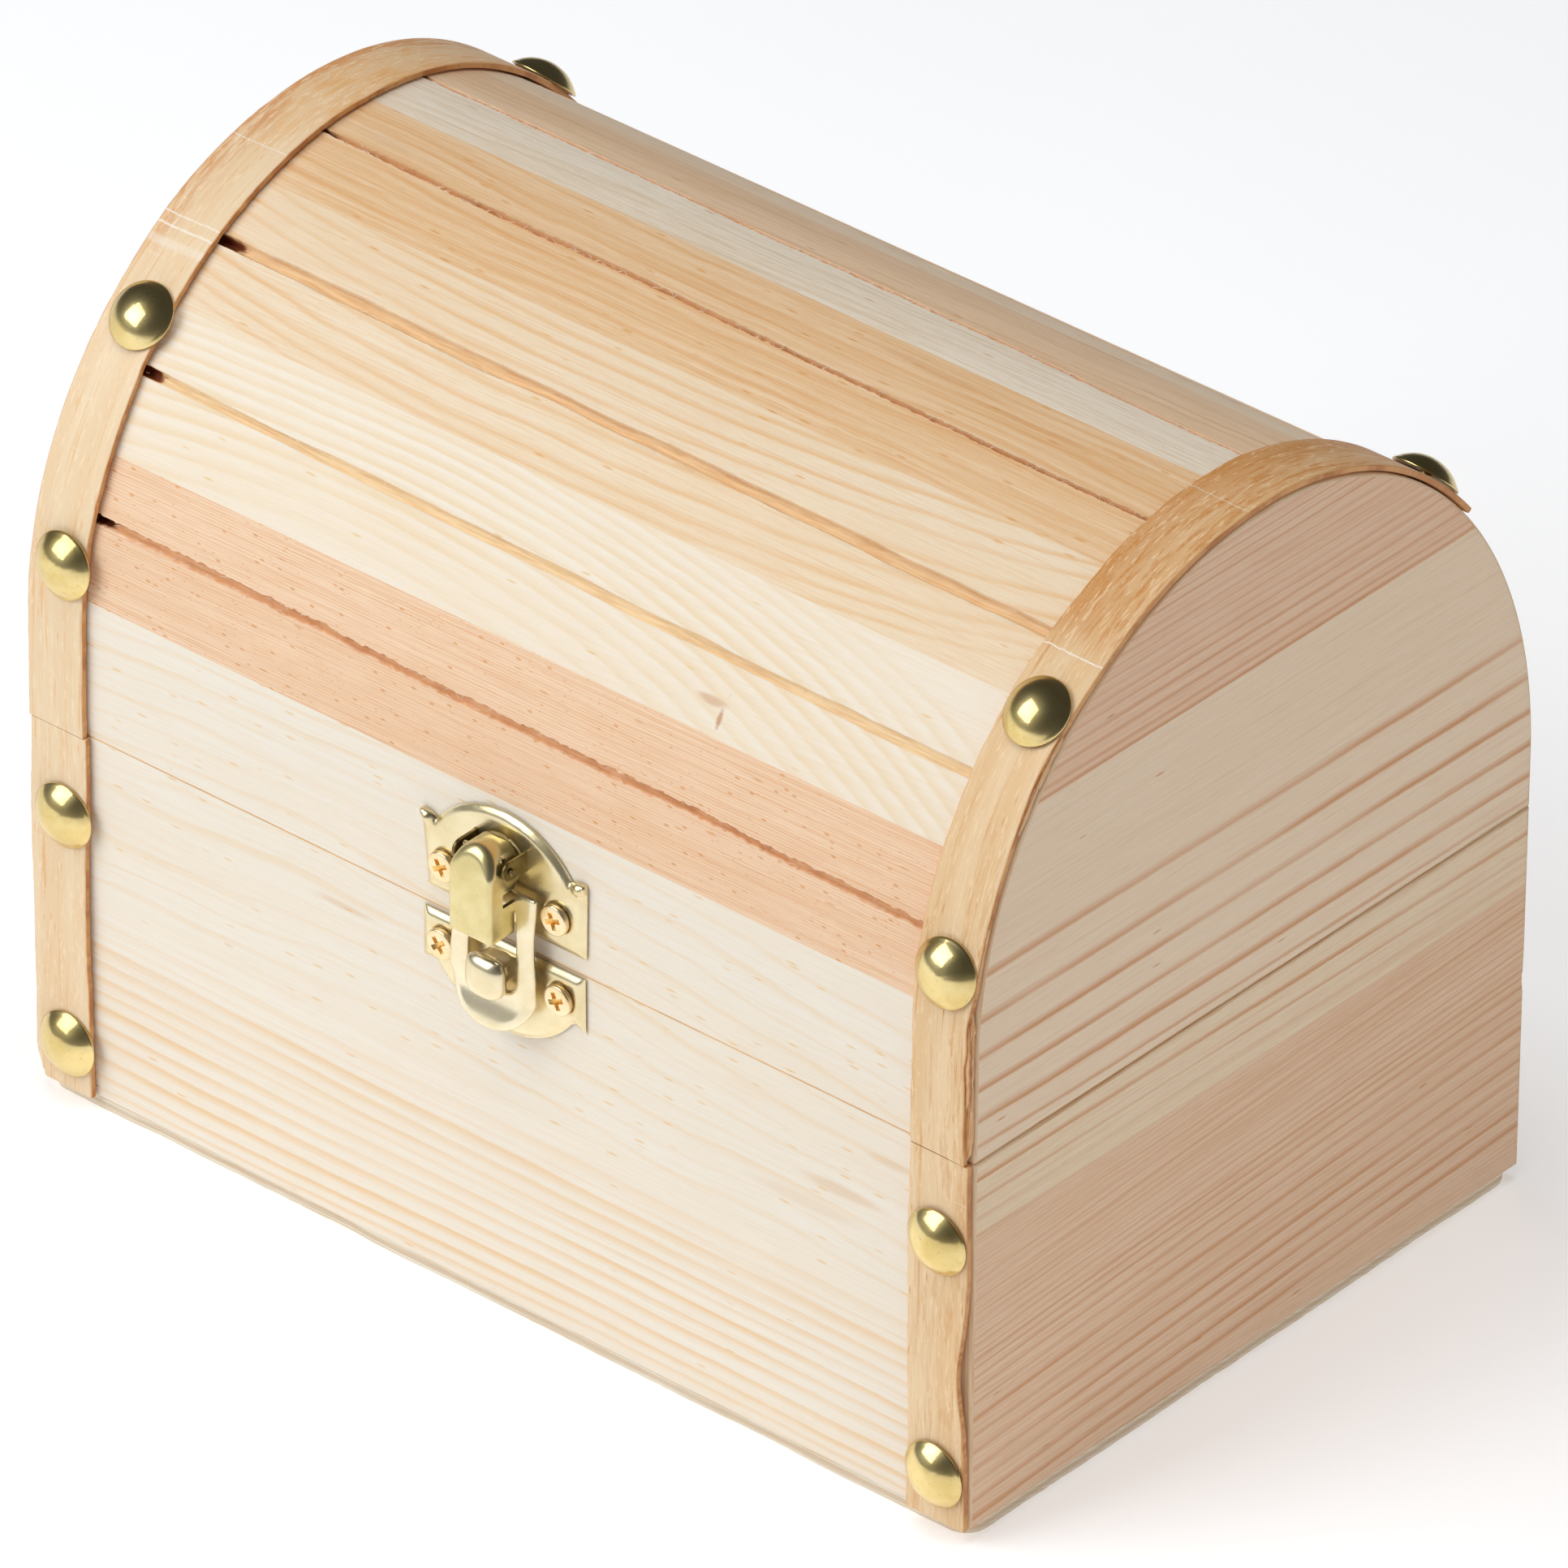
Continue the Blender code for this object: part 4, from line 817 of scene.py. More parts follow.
M["veneer_l"] = veneer("veneer_left", srgb(241, 217, 182), srgb(236, 205, 164), srgb(232, 176, 114), 3, hot=(138.0, 160.0), mottle=0.25,
                       outer=(122.0, 131.0), scores=((126.6, 0.9, 0.4), (128.9, 0.25, 0.8), (130.6, 0.2, 0.7), (144.5, 0.15, 0.6)))
M["veneer_r"] = veneer("veneer_right", srgb(238, 209, 168), srgb(230, 191, 142), srgb(205, 138, 70), 8, hot=(125.0, 134.0), mottle=0.4,
                       hot_mix=0.85, scores=((127.4, 0.16, 0.85), (157.0, 0.12, 0.5)))
M["endgrain"] = end_grain("pine_end_grain", srgb(232, 196, 150), srgb(196, 140, 92), 4)
M["brass"] = brass("brass_plate", (0.83, 0.72, 0.47), (0.74, 0.61, 0.35), rough=0.20, satin=0.08, seed=1, marks=0.3, haze_share=0.4)
M["brass_lever"] = brass("brass_lever", (0.80, 0.69, 0.38), (0.70, 0.58, 0.27), rough=0.22, satin=0.10, seed=6, marks=0.12, worn=0.1, haze_share=0.45)
# dark brass for the lever's lugs and rivets: painted shade, standing in for the shade beside the lever
M["brass_dark"] = brass("brass_with_painted_shade", (0.24, 0.18, 0.07), (0.15, 0.11, 0.04), rough=0.30, satin=0.08, seed=7, marks=0.5)
M["brass_nail"] = brass("brass_nail", (0.82, 0.655, 0.31), (0.70, 0.525, 0.20), rough=0.09, satin=0.05, seed=2, marks=0.75, worn=0.6,
                        haze_rough=0.28, haze_share=0.54, pit_lo=0.60)
M["brass_bright"] = brass("brass_bright", (0.90, 0.80, 0.58), (0.80, 0.68, 0.44), rough=0.20, satin=0.08, seed=3, marks=0.25, haze_share=0.4)
M["screw"] = brass("plated_screw", (0.95, 0.78, 0.52), (0.90, 0.66, 0.34), rough=0.25, satin=0.08, seed=4, marks=0.2)
# darker orange for the cross recesses: painted shade
M["screw_deep"] = brass("plated_screw_cross_shade", (0.96, 0.68, 0.26), (0.88, 0.52, 0.14), rough=0.35, satin=0.08, seed=5, marks=0.5)


def plywood_mat():
    N = Nodes("plywood_bottom")
    u, v = N.uv()
    tc = N.t.nodes.new("ShaderNodeTexCoord")
    sp = N.t.nodes.new("ShaderNodeSeparateXYZ")
    N.t.links.new(tc.outputs["Object"], sp.inputs[0])
    z = N.mul(sp.outputs[2], 1000.0)
    ply = N.span(N.math("ABSOLUTE", N.math("SUBTRACT", z, 1.0)), 0.28, 0.40, 1.0, 0.0)
    a = N.noise(N.vec(N.mul(u, 0.05), N.mul(v, 0.6), 3.0), 1.0, 4.0, 0.65)
    b = N.noise(N.vec(N.mul(u, 0.9), N.mul(v, 5.0), 6.0), 1.0, 3.0, 0.7)
    col = N.mix(N.span(a, 0.35, 0.68), srgb(243, 234, 218), srgb(228, 208, 180))
    col = N.mix(N.mul(ply, 0.5), col, srgb(206, 172, 134))
    col = N.mix(N.span(b, 0.55, 0.75, 0.0, 0.35), col, srgb(208, 176, 140))
    return N.done(col, 0.7, N.bump(N.add(a, N.mul(b, 0.6)), 0.0001, 0.5), spec=0.25)


M["plywood"] = plywood_mat()


# ---------------------------------------------------------------- lid panel: bent board, glued strips, sawn grooves
# (run of the centre line at the left and right end, half width, depth, raggedness, length of the deep start at the left)
GROOVES = [(90.2, 88.3, 0.58, 0.80, 0.42, 4.2), (110.6, 108.8, 0.72, 0.50, 0.05, 4.4), (130.5, 129.0, 0.80, 0.80, 0.06, 5.5),
           (151.7, 149.6, 0.40, 0.80, 0.40, 3.5), (171.2, 169.0, 0.36, 0.60, 0.42, 2.0), (192.2, 190.4, 0.85, 1.1, 0.2, 3.0),
           (212.6, 211.2, 0.80, 1.1, 0.3, 3.0), (233.0, 232.0, 0.85, 1.1, 0.2, 3.0)]
BOARDS = [(78.4, "base_up"), (99.0, "pink"), (119.8, "pale"), (140.6, "cream"), (160.8, "tan"), (170.1, "grey"),
          (182.0, "rose"), (202.0, "back1"), (222.5, "back2"), (243.0, "back1"), (300.0, "rose")]
S_LOW, S_HIGH = SPLIT_Z + 0.03, S_TOP + (ARCH_ZR - SPLIT_Z - GAP)


def groove_line(g, x):
    l, r, hw, dp, rag, deep = GROOVES[g]
    f = (np.asarray(x, float) + 71.7) / 143.4
    return l + (r - l) * f + 0.18 * fractal1(x, 0.05, 300 + g)


def lid_panel():
    x = np.concatenate([[-71.7], np.arange(-71.5, 71.5, 0.4), [71.7]])
    rows = []
    for g, spec in enumerate(GROOVES):
        c0 = (spec[0] + spec[1]) / 2
        for k in (-3.4, -2.3, -1.5, -1.12, -1.0, -0.88, -0.55, 0.0, 0.55, 0.88, 1.0, 1.12, 1.5, 2.3, 3.4):
            rows.append((c0 + k * 0.82, g, k))
    centres = np.array([(q[0] + q[1]) / 2 for q in GROOVES])
    bounds = [b for b, _ in BOARDS if b < 250 and b != 170.1]
    for b in bounds:
        rows.append((b, -1, 0.0))
    for s in np.arange(S_LOW + 0.35, S_HIGH - 0.35, 1.35):
        if np.min(np.abs(centres - s)) > 3.3 and min(abs(s - b) for b in bounds) > 0.5:
            rows.append((s, -1, 0.0))
    rows += [(S_LOW + 0.3, -1, 0.0), (S_HIGH - 0.3, -1, 0.0)]
    rows.sort()
    S, OFF, CUT_ = [], [], []
    for s0, g, k in rows:
        if g < 0:
            d = centres - s0
            j = int(np.argmin(np.abs(d)))
            w = max(0.0, 1 - abs(d[j]) / 8.0) if s0 not in bounds else max(0.0, 0.5 - abs(d[j]) / 16.0)
            S.append(s0 + w * (groove_line(j, x) - centres[j]))
            OFF.append(0.018 * fractal1(x, 0.12, int(s0 * 7)) - 0.02)
            CUT_.append(np.zeros_like(x))
            continue
        l, r, hw, dp, rag, deep = GROOVES[g]
        side = 1 if k > 0 else -1
        n = noise1(x, 1.3, 500 + 10 * g + side) * 0.6 + noise1(x, 3.1, 520 + 10 * g + side) * 0.4
        drift = 1 + 0.18 * fractal1(x, 0.045, 560 + g)
        narrow = 1.12 - 0.22 * (x + 71.7) / 143.4 if rag > 0.3 else 1.0
        half = hw * (drift * narrow + rag * (n - 0.25 * (side < 0)))
        half = np.clip(half, 0.22, 1.5)
        c = groove_line(g, x)
        if abs(k) <= 1.12:
            S.append(c + k * half)
        else:
            S.append(c + side * (hw * 1.3 + (abs(k) - 1.12) * 1.0 + 0.12) + 0 * x)
        hole = 1 - smooth(-71.0 + deep * 0.25, -71.0 + deep * 1.05, x + 0.5 * noise1(x * 0 + side * 3.0, 1.0, g) + 0.5 * noise1(x, 2.4, 580 + g + side))
        depth = dp * (1 + 0.16 * fractal1(x, 0.25, 600 + g)) + 1.0 * hole
        share = {0.0: 1.0, 0.55: 0.96, 0.88: 0.66, 1.0: 0.10, 1.12: -0.012}.get(abs(k), 0.0)
        burr = 0.09 * rag * np.clip(noise1(x, 2.2, 640 + g * 3 + side), 0, 1) if abs(k) in (1.12,) else 0.0
        OFF.append(-depth * share + burr - (0.0 if abs(k) < 1.2 else 0.01))
        # the deep entry pushes 'cut' above 1, where the material paints shade into the hole
        CUT_.append(np.full_like(x, {0.0: 1.0, 0.55: 1.0, 0.88: 0.9, 1.0: 0.35}.get(abs(k), 0.0)) + hole * (1.0 if abs(k) < 1.05 else 0.0))
    S, OFF, CUT_ = np.array(S), np.array(OFF), np.array(CUT_)
    for r in range(1, len(S)):
        S[r] = np.maximum(S[r], S[r - 1] + 0.012)
    # rims at the two long edges
    one = np.ones_like(x)

    def rim(s, pairs):
        return [np.array([s(d) * one for d, _ in pairs]), np.array([o * one for _, o in pairs])]

    lo_s, lo_o = rim(lambda d: S_LOW + d, [(0.35, -5.0), (0.08, -4.93), (0.0, -4.65), (0.0, -2.5), (0.0, -0.14), (0.04, -0.03)])
    hi_s, hi_o = rim(lambda d: S_HIGH - d, [(0.09, -0.07), (0.0, -0.32), (0.0, -2.5), (0.0, -4.65), (0.08, -4.93), (0.35, -5.0)])
    S = np.concatenate([lo_s, S, hi_s])
    OFF = np.concatenate([lo_o, OFF, hi_o])
    CUT_ = np.concatenate([np.full_like(lo_s, 0.9), CUT_, np.full_like(hi_s, 0.9)])
    y, z, _, _ = outline(S, OFF)
    V = np.stack([np.broadcast_to(x, S.shape), y, z], -1)
    UV = np.stack([np.broadcast_to(x, S.shape), S - OFF * ((S < S_LOW + 0.4) | (S > S_HIGH - 0.4))], -1)
    faces = grid_faces(*S.shape)
    mid = np.repeat((S[:-1, len(x) // 2] + S[1:, len(x) // 2]) / 2, len(x) - 1)
    g5 = (GROOVES[4][0] + GROOVES[4][1]) / 2
    fm = np.zeros(len(faces), int)
    names = []
    for b, key in BOARDS:
        if key not in names:
            names.append(key)
    for q in range(len(mid)):
        for b, key in BOARDS:
            if mid[q] < (g5 if b == 170.1 else b):
                fm[q] = names.index(key)
                break
    # inside face
    xi = x[::6] if x[::6][-1] == x[-1] else np.append(x[::6], x[-1])
    si = np.linspace(S_LOW + 0.35, S_HIGH - 0.35, 120)
    SI = np.broadcast_to(si[:, None], (len(si), len(xi)))
    y, z, _, _ = outline(SI, -5.0 * np.ones_like(SI))
    VI = np.stack([np.broadcast_to(xi, SI.shape), y, z], -1).reshape(-1, 3)
    FI = grid_faces(len(si), len(xi))[:, ::-1]
    UVI = np.stack([np.broadcast_to(xi, SI.shape), SI + 37.0], -1).reshape(-1, 2)
    names.append("inner")
    V, F, UV, C = join_parts([(V.reshape(-1, 3), faces, UV.reshape(-1, 2), CUT_.ravel()), (VI, FI, UVI, np.zeros(len(VI)))])
    fm = np.concatenate([fm, np.full(len(FI), len(names) - 1)])
    return make_object("lid_panel_wood", V, F, [M[k] for k in names], fm, UV, {"cut": C}, angle=42)


put(lid_panel(), "lid", "lid_panel", slot="pine")


# ---------------------------------------------------------------- walls of the box: profile swept along x
def wall(name, y_out, y_in, out_sign, boards, split=None, seed=1):
    """A board wall; its outer face is cut into rows so that glued boards meet on a line."""
    x = np.arange(-71.7, 71.71, 1.0)
    x[-1] = 71.7
    lo, hi, r = 2.25, SPLIT_Z - 0.03, 0.14
    rows = []                       # (share of the way from outer to inner face, z, kind)
    zs = list(np.linspace(lo + r, hi - r, 42))
    if split:
        zs = sorted([q for q in zs if abs(q - split[0]) > 0.9] + [split[0]])
    pts = [(0.02, lo + 0.08, 0.0), (0.0, lo + r, 0.0)] + [(0.0, q, 1.0 if split and abs(q - split[0]) < 1e-6 else 0.0) for q in zs[1:-1]]
    pts += [(0.0, hi - r, 0.0), (0.006, hi - 0.03, 0.0), (0.02, hi, 0.0), (0.5, hi, 0.0), (0.94, hi, 0.0), (0.985, hi - 0.07, 0.0), (1.0, hi - r, 0.0)]
    pts += [(1.0, q, 0.0) for q in np.linspace(hi - r, lo + r, 12)[1:-1]]
    pts += [(1.0, lo + r, 0.0), (0.98, lo + 0.08, 0.0), (0.94, lo, 0.0), (0.5, lo, 0.0), (0.06, lo, 0.0)]
    n_out = 2 + len(zs[1:-1]) + 1
    Y, Z, V_ = [], [], []
    for share, z, tag in pts:
        zz = z + (tag * split[1] * x if split else 0 * x)
        wav = 0.025 * fractal1(x + 3 * z, 0.03, seed) * (share == 0.0)
        Y.append(y_out + (y_in - y_out) * share - out_sign * (abs(wav)))
        Z.append(zz)
        V_.append(zz if share < 0.5 else zz + 31.0)
    Y, Z, V_ = np.array(Y), np.array(Z), np.array(V_)
    X = np.broadcast_to(x, Y.shape)
    Vv = np.stack([X, Y, Z], -1).reshape(-1, 3)
    uvv = V_ + np.array([[abs(p[0]) * 6.0] for p in pts]) * (np.array([[p[0]] for p in pts]) > 0.03)
    UV = np.stack([X, uvv], -1).reshape(-1, 2)
    n, c = Y.shape
    F = grid_faces(n, c)
    last = np.stack([(n - 1) * c + np.arange(c - 1), (n - 1) * c + np.arange(1, c), np.arange(1, c), np.arange(c - 1)], -1)
    F = np.concatenate([F, last])
    if out_sign > 0:
        F = F[:, ::-1]
    fm = np.zeros(len(F), int)
    for r_ in range(n):
        sel = slice(r_ * (c - 1), (r_ + 1) * (c - 1))
        share, z, _ = pts[r_]
        if share >= 0.94 and r_ > n_out:
            fm[sel] = 2
        elif split and share < 0.9 and r_ <= n_out and z < split[0] - 1e-6:
            fm[sel] = 0
        elif r_ >= n - 3:
            fm[sel] = 0 if split else 1
        else:
            fm[sel] = 1
    tag = np.array([[0.9 if 0.004 < p[0] < 0.95 and p[1] > hi - 0.1 else 0.0] for p in pts]) * np.ones_like(Y)
    ob = make_object(name, Vv, F, [M[boards[0]], M[boards[1]], M["inner"]], fm, UV, {"cut": tag.ravel()}, angle=50)
    # close the two short ends
    bm = bmesh.new()
    bm.from_mesh(ob.data)
    edges = [e for e in bm.edges if e.is_boundary]
    if edges:
        bmesh.ops.holes_fill(bm, edges=edges, sides=0)
    bm.to_mesh(ob.data)
    bm.free()
    return ob


put(wall("base_front_wood", Y_FRONT, Y_FRONT + WALL_T, -1, ("base_low", "base_up"), (32.15, -0.0105), 21), "base", "base_front_wall", slot="pine")
put(wall("base_back_wood", Y_BACK, Y_BACK - WALL_T, 1, ("wall_back_low", "wall_back_up"), (27.0, 0.006), 22), "base", "base_back_wall", slot="pine")


# ---------------------------------------------------------------- end panels: flat boards cut to the arch
def end_panel(name, side, body, boards, bounds, seed):
    """Outer face, inner face and rounded rim. bounds are (z, board) from the bottom up, z rising by slope along y."""
    x_out, x_in = side * HALF, side * (HALF - END_T)
    if body == "base":
        z_lo, z_hi = 2.25, SPLIT_Z - 0.09
    else:
        z_lo, z_hi = SPLIT_Z + 0.09, ARCH_ZF + ARCH_RF
    cuts = [b[0] for b in bounds]

    def edges_at(z, inset):
        z = np.asarray(z, float)
        f = np.where(z <= ARCH_ZF, inset, ARCH_RF - np.sqrt(np.maximum((ARCH_RF - inset) ** 2 - (z - ARCH_ZF) ** 2, 0)))
        q = np.clip((z - ARCH_ZR) / (ARCH_BR - inset), 0, 1)
        b = np.where(z <= ARCH_ZR, DEPTH - inset, ARCH_RF + (ARCH_AR - inset) * np.sqrt(1 - q ** 2))
        if body == "base":
            f, b = inset + 0 * z, DEPTH - inset + 0 * z
        return f, b

    def levels(inset):
        if body == "base":
            return np.linspace(z_lo + inset, z_hi - inset, 48)
        t = np.linspace(0, 1, 70)
        low = np.linspace(z_lo + inset, ARCH_ZF, 14)[:-1]
        top = z_hi - inset
        return np.concatenate([low, ARCH_ZF + (top - ARCH_ZF) * np.sin(t * math.pi / 2)])

    def snap(z):
        z = z.copy()
        for c in cuts[:-1]:
            k = int(np.argmin(np.abs(z - c)))
            z[k] = c
        return z

    loops = []
    # inset, x as a share of the thickness from outside
    prof = [(0.40, 0.0), (0.16, 0.012), (0.04, 0.035), (0.0, 0.07), (0.0, 0.5), (0.0, 0.93), (0.04, 0.965), (0.16, 0.988), (0.40, 1.0)]
    parts, fm = [], []
    for inset, share, flip in ((0.40, 0.0, False), (0.40, 1.0, True)):
        z = snap(levels(inset))
        f, b = edges_at(z, inset)
        nc = 90
        t = np.linspace(0, 1, nc)
        Y = f[:, None] + (b - f)[:, None] * t[None, :]
        slope = np.zeros((len(z), 1))
        for c, (zc, key, sl) in enumerate(bounds[:-1]):
            slope[int(np.argmin(np.abs(z - zc)))] = sl
        Z = z[:, None] + slope * (Y - 55.0)
        X = np.full_like(Y, x_out + (x_in - x_out) * share)
        if share == 0.0:
            X = X - side * np.abs(0.02 * fractal1(Y + 2 * Z, 0.04, seed))
        V = np.stack([X, Y + Y_FRONT, Z], -1).reshape(-1, 3)
        UV = np.stack([Y, Z + (200 if flip else 0)], -1).reshape(-1, 2)
        F = grid_faces(len(z), nc)
        if flip:
            F = F[:, ::-1]
        if side < 0:
            F = F[:, ::-1]
        parts.append((V, F, UV, np.zeros(len(V))))
        zm = np.repeat((z[:-1] + z[1:]) / 2, nc - 1)
        for q in zm:
            if flip:
                fm.append(len(boards))
            else:
                k = 0
                while k < len(bounds) - 1 and q > bounds[k][0]:
                    k += 1
                fm.append(boards.index(bounds[k][1]))
    # rim
    zl = levels(0.0)
    ring_y, ring_z = [], []
    for inset, share in prof:
        z = levels(inset)
        z = snap(z) if inset == 0.40 else z
        f, b = edges_at(z, inset)
        yy = np.concatenate([f, b[::-1]])
        zz = np.concatenate([z, z[::-1]])
        ring_y.append(yy)
        ring_z.append(zz)
    Y, Z = np.array(ring_y), np.array(ring_z)
    X = np.array([[x_out + (x_in - x_out) * s] for _, s in prof]) * np.ones_like(Y)
    V = np.stack([X, Y + Y_FRONT, Z], -1).reshape(-1, 3)
    run = np.cumsum(np.concatenate([[0], np.hypot(np.diff(Y[3]), np.diff(Z[3]))]))
    UV = np.stack([np.broadcast_to(run, Y.shape), np.abs(X)], -1).reshape(-1, 2)
    F = grid_faces(Y.shape[0], Y.shape[1], wrap=True)
    if side < 0:
        F = F[:, ::-1]
    parts.append((V, F, UV, np.zeros(len(V))))
    fm += [len(boards) + 1] * len(F)
    V, F, UV, C = join_parts(parts)
    ob = make_object(name, V, F, [M[k] for k in boards] + [M["inner"], M["edge"]], fm, UV, {"cut": C}, angle=40)
    return ob


for side, tag in ((1, "right"), (-1, "left")):
    base_b = [(46.4, "end_low", -0.004), (99.0, "end_mid", 0.0)]
    lid_b = [(106.2, "end_lid_low", 0.0), (200.0, "end_lid_top", 0.0)]
    ob = end_panel("base_%s_end_wood" % tag, side, "base", ["end_low", "end_mid"], base_b, 60 + side)
    if side > 0:
        # a small split broken out of the rear edge
        bm = bmesh.new()
        bmesh.ops.create_icosphere(bm, subdivisions=3, radius=1.0)
        for v in bm.verts:
            k = 1 + 0.25 * float(noise1(v.co.z * 4 + v.co.x * 3, 1.0, 71))
            v.co = Vector((v.co.x * 0.9 * k, v.co.y * 0.8 * k, v.co.z * 3.4))
        bmesh.ops.translate(bm, vec=Vector((HALF + 0.1, Y_BACK + 0.25, 32.2)), verts=bm.verts)
        bmesh.ops.scale(bm, vec=(MM, MM, MM), verts=bm.verts)
        me = bpy.data.meshes.new("chip")
        bm.to_mesh(me)
        bm.free()
        me.materials.append(M["endgrain"])
        chip = bpy.data.objects.new("chip", me)
        bpy.context.scene.collection.objects.link(chip)
        ob = cut(ob, chip)
    put(ob, "base", "base_%s_end" % tag, slot="pine")
    ob = end_panel("lid_%s_end_wood" % tag, side, "lid", ["end_lid_low", "end_lid_top"], lid_b, 64 + side)
    put(ob, "lid", "lid_%s_end" % tag, slot="pine")


# bottom board: thin plywood, corners clipped round by hand
def bottom():
    x0, x1, y0, y1 = -HALF + 0.5, HALF - 0.5, Y_FRONT + 0.5, Y_BACK - 0.5
    pts = round_corners([(x0, y0), (x1, y0), (x1, y1), (x0, y1)], [3.4, 4.2, 3.0, 4.0], 8)
    dense = []
    for i, p in enumerate(pts):
        q = pts[(i + 1) % len(pts)]
        n = max(1, int(math.hypot(q[0] - p[0], q[1] - p[1]) / 1.5))
        dense += [(p[0] + (q[0] - p[0]) * k / n, p[1] + (q[1] - p[1]) * k / n) for k in range(n)]
    P = np.array(dense)
    nrm = np.stack([np.roll(P[:, 1], -1) - np.roll(P[:, 1], 1), np.roll(P[:, 0], 1) - np.roll(P[:, 0], -1)], -1)
    nrm /= np.linalg.norm(nrm, axis=1)[:, None]
    run = np.arange(len(P)) * 1.5
    wob = 0.16 * fractal1(run, 0.08, 91) - 0.12
    rows = [(0.35, 0.0), (0.10, 0.05), (0.0, 0.25), (0.04, 0.62), (0.0, 1.0), (0.05, 1.38), (0.0, 1.75), (0.10, 1.95), (0.35, 2.0)]
    V, UV = [], []
    for k, (ins, z) in enumerate(rows):
        q = P - nrm * (ins + np.maximum(0.0, -wob) * 1.0 + 0.05 * (noise1(run, 0.8, 95 + k) + 1))[:, None]
        V.append(np.column_stack([q, np.full(len(q), z)]))
        UV.append(np.column_stack([q[:, 0], q[:, 1] + z * 3]))
    n = len(P)
    F = grid_faces(len(rows), n, wrap=True).tolist()
    F.append(list(range(n))[::-1])
    F.append([(len(rows) - 1) * n + k for k in range(n)])
    me_v = np.concatenate(V)
    return make_object("bottom_board", me_v, F, M["plywood"], uv=np.concatenate(UV), angle=40)


put(bottom(), "base", "base_bottom", slot="plywood")


# ---------------------------------------------------------------- veneer bands
def fibre_tube(p, w):
    """Three-sided tapered splinter through the points p."""
    P = np.array(p, float)
    d = np.gradient(P, axis=0)
    d /= np.linalg.norm(d, axis=1)[:, None] + 1e-9
    a = np.cross(d, [0.31, 0.22, 0.92])
    a /= np.linalg.norm(a, axis=1)[:, None] + 1e-9
    b = np.cross(d, a)
    n = len(P)
    wd = w * (1 - 0.8 * np.linspace(0, 1, n))[:, None]
    V = np.concatenate([P + wd * a, P + wd * (-0.5 * a + 0.87 * b), P + wd * (-0.5 * a - 0.87 * b)])
    F = []
    for i in range(n - 1):
        for k in range(3):
            j = (k + 1) % 3
            F.append((k * n + i, j * n + i, j * n + i + 1, k * n + i + 1))
    return V, F


def band(name, side, s0, s1, mat, seed, inner, outer, lift_out, lift_in, s_step=0.5):
    """Strip on the front and dome: inner(s), outer(s) pull the edges in; lift_*(s) raise them off the wood."""
    s = np.arange(s0, s1, s_step)
    s[-1] = s1
    xo = HALF - 0.035 - np.clip(outer(s), 0.0, 3.0)
    xi = HALF - BAND_W + inner(s)
    top, bot = BAND_LIFT + BAND_T, BAND_LIFT
    # (across 0 = inner edge, 1 = outer edge; height 0 = under, 1 = top; edge colour)
    prof = [(0.0, 0.12, 1.0), (0.0, 0.5, 1.0), (0.0, 0.86, 1.0), (0.010, 0.965, 0.35), (0.025, 1.0, 0.0), (0.15, 1.0, 0.0), (0.3, 1.0, 0.0),
            (0.5, 1.0, 0.0), (0.7, 1.0, 0.0), (0.85, 1.0, 0.0), (0.972, 1.0, 0.0), (0.988, 0.965, 0.3), (1.0, 0.86, 1.0), (1.0, 0.5, 1.0),
            (1.0, 0.12, 1.0), (0.97, 0.0, 0.6), (0.5, 0.0, 0.3), (0.03, 0.0, 0.6)]
    S, OFF, X, C, U = [], [], [], [], []
    for t, h, e in prof:
        x = xi + (xo - xi) * t
        lift = lift_out(s) * np.clip((t - 0.45) / 0.55, 0, 1) ** 1.6 + lift_in(s) * np.clip((0.5 - t) / 0.5, 0, 1) ** 1.6
        cup = 0.05 * fractal1(s + 6 * t, 0.05, seed + 40)
        rough = 0.03 * noise1(s, 0.9, seed + int(10 * t) + int(7 * h)) * (e > 0.3)
        rough = np.minimum(rough, 0.03)
        S.append(s)
        OFF.append(bot + (top - bot) * h + lift + np.minimum(cup, 0.0) * h * 0.8)
        X.append(side * (x + rough))
        C.append(np.full_like(s, e))
        U.append(x)
    S, OFF, X, C, U = map(np.array, (S, OFF, X, C, U))
    y, z, _, _ = outline(S, OFF)
    z = np.minimum(z, 130.12)
    V = np.stack([X, y, z], -1).reshape(-1, 3)
    UV = np.stack([U, S], -1).reshape(-1, 2)
    n, c = S.shape
    F = grid_faces(n, c)
    last = np.stack([(n - 1) * c + np.arange(c - 1), (n - 1) * c + np.arange(1, c), np.arange(1, c), np.arange(c - 1)], -1)
    F = np.concatenate([F, last])
    caps = [[r * c for r in range(n)], [r * c + c - 1 for r in range(n)][::-1]]
    F = F.tolist() + caps
    if side > 0:
        F = [f[::-1] for f in F]
    return make_object(name, V, F, mat, uv=UV, attrs={"cut": C.ravel()}, angle=38)


def bump_at(s, c, w, h):
    return h * np.exp(-((np.asarray(s, float) - c) / w) ** 2)


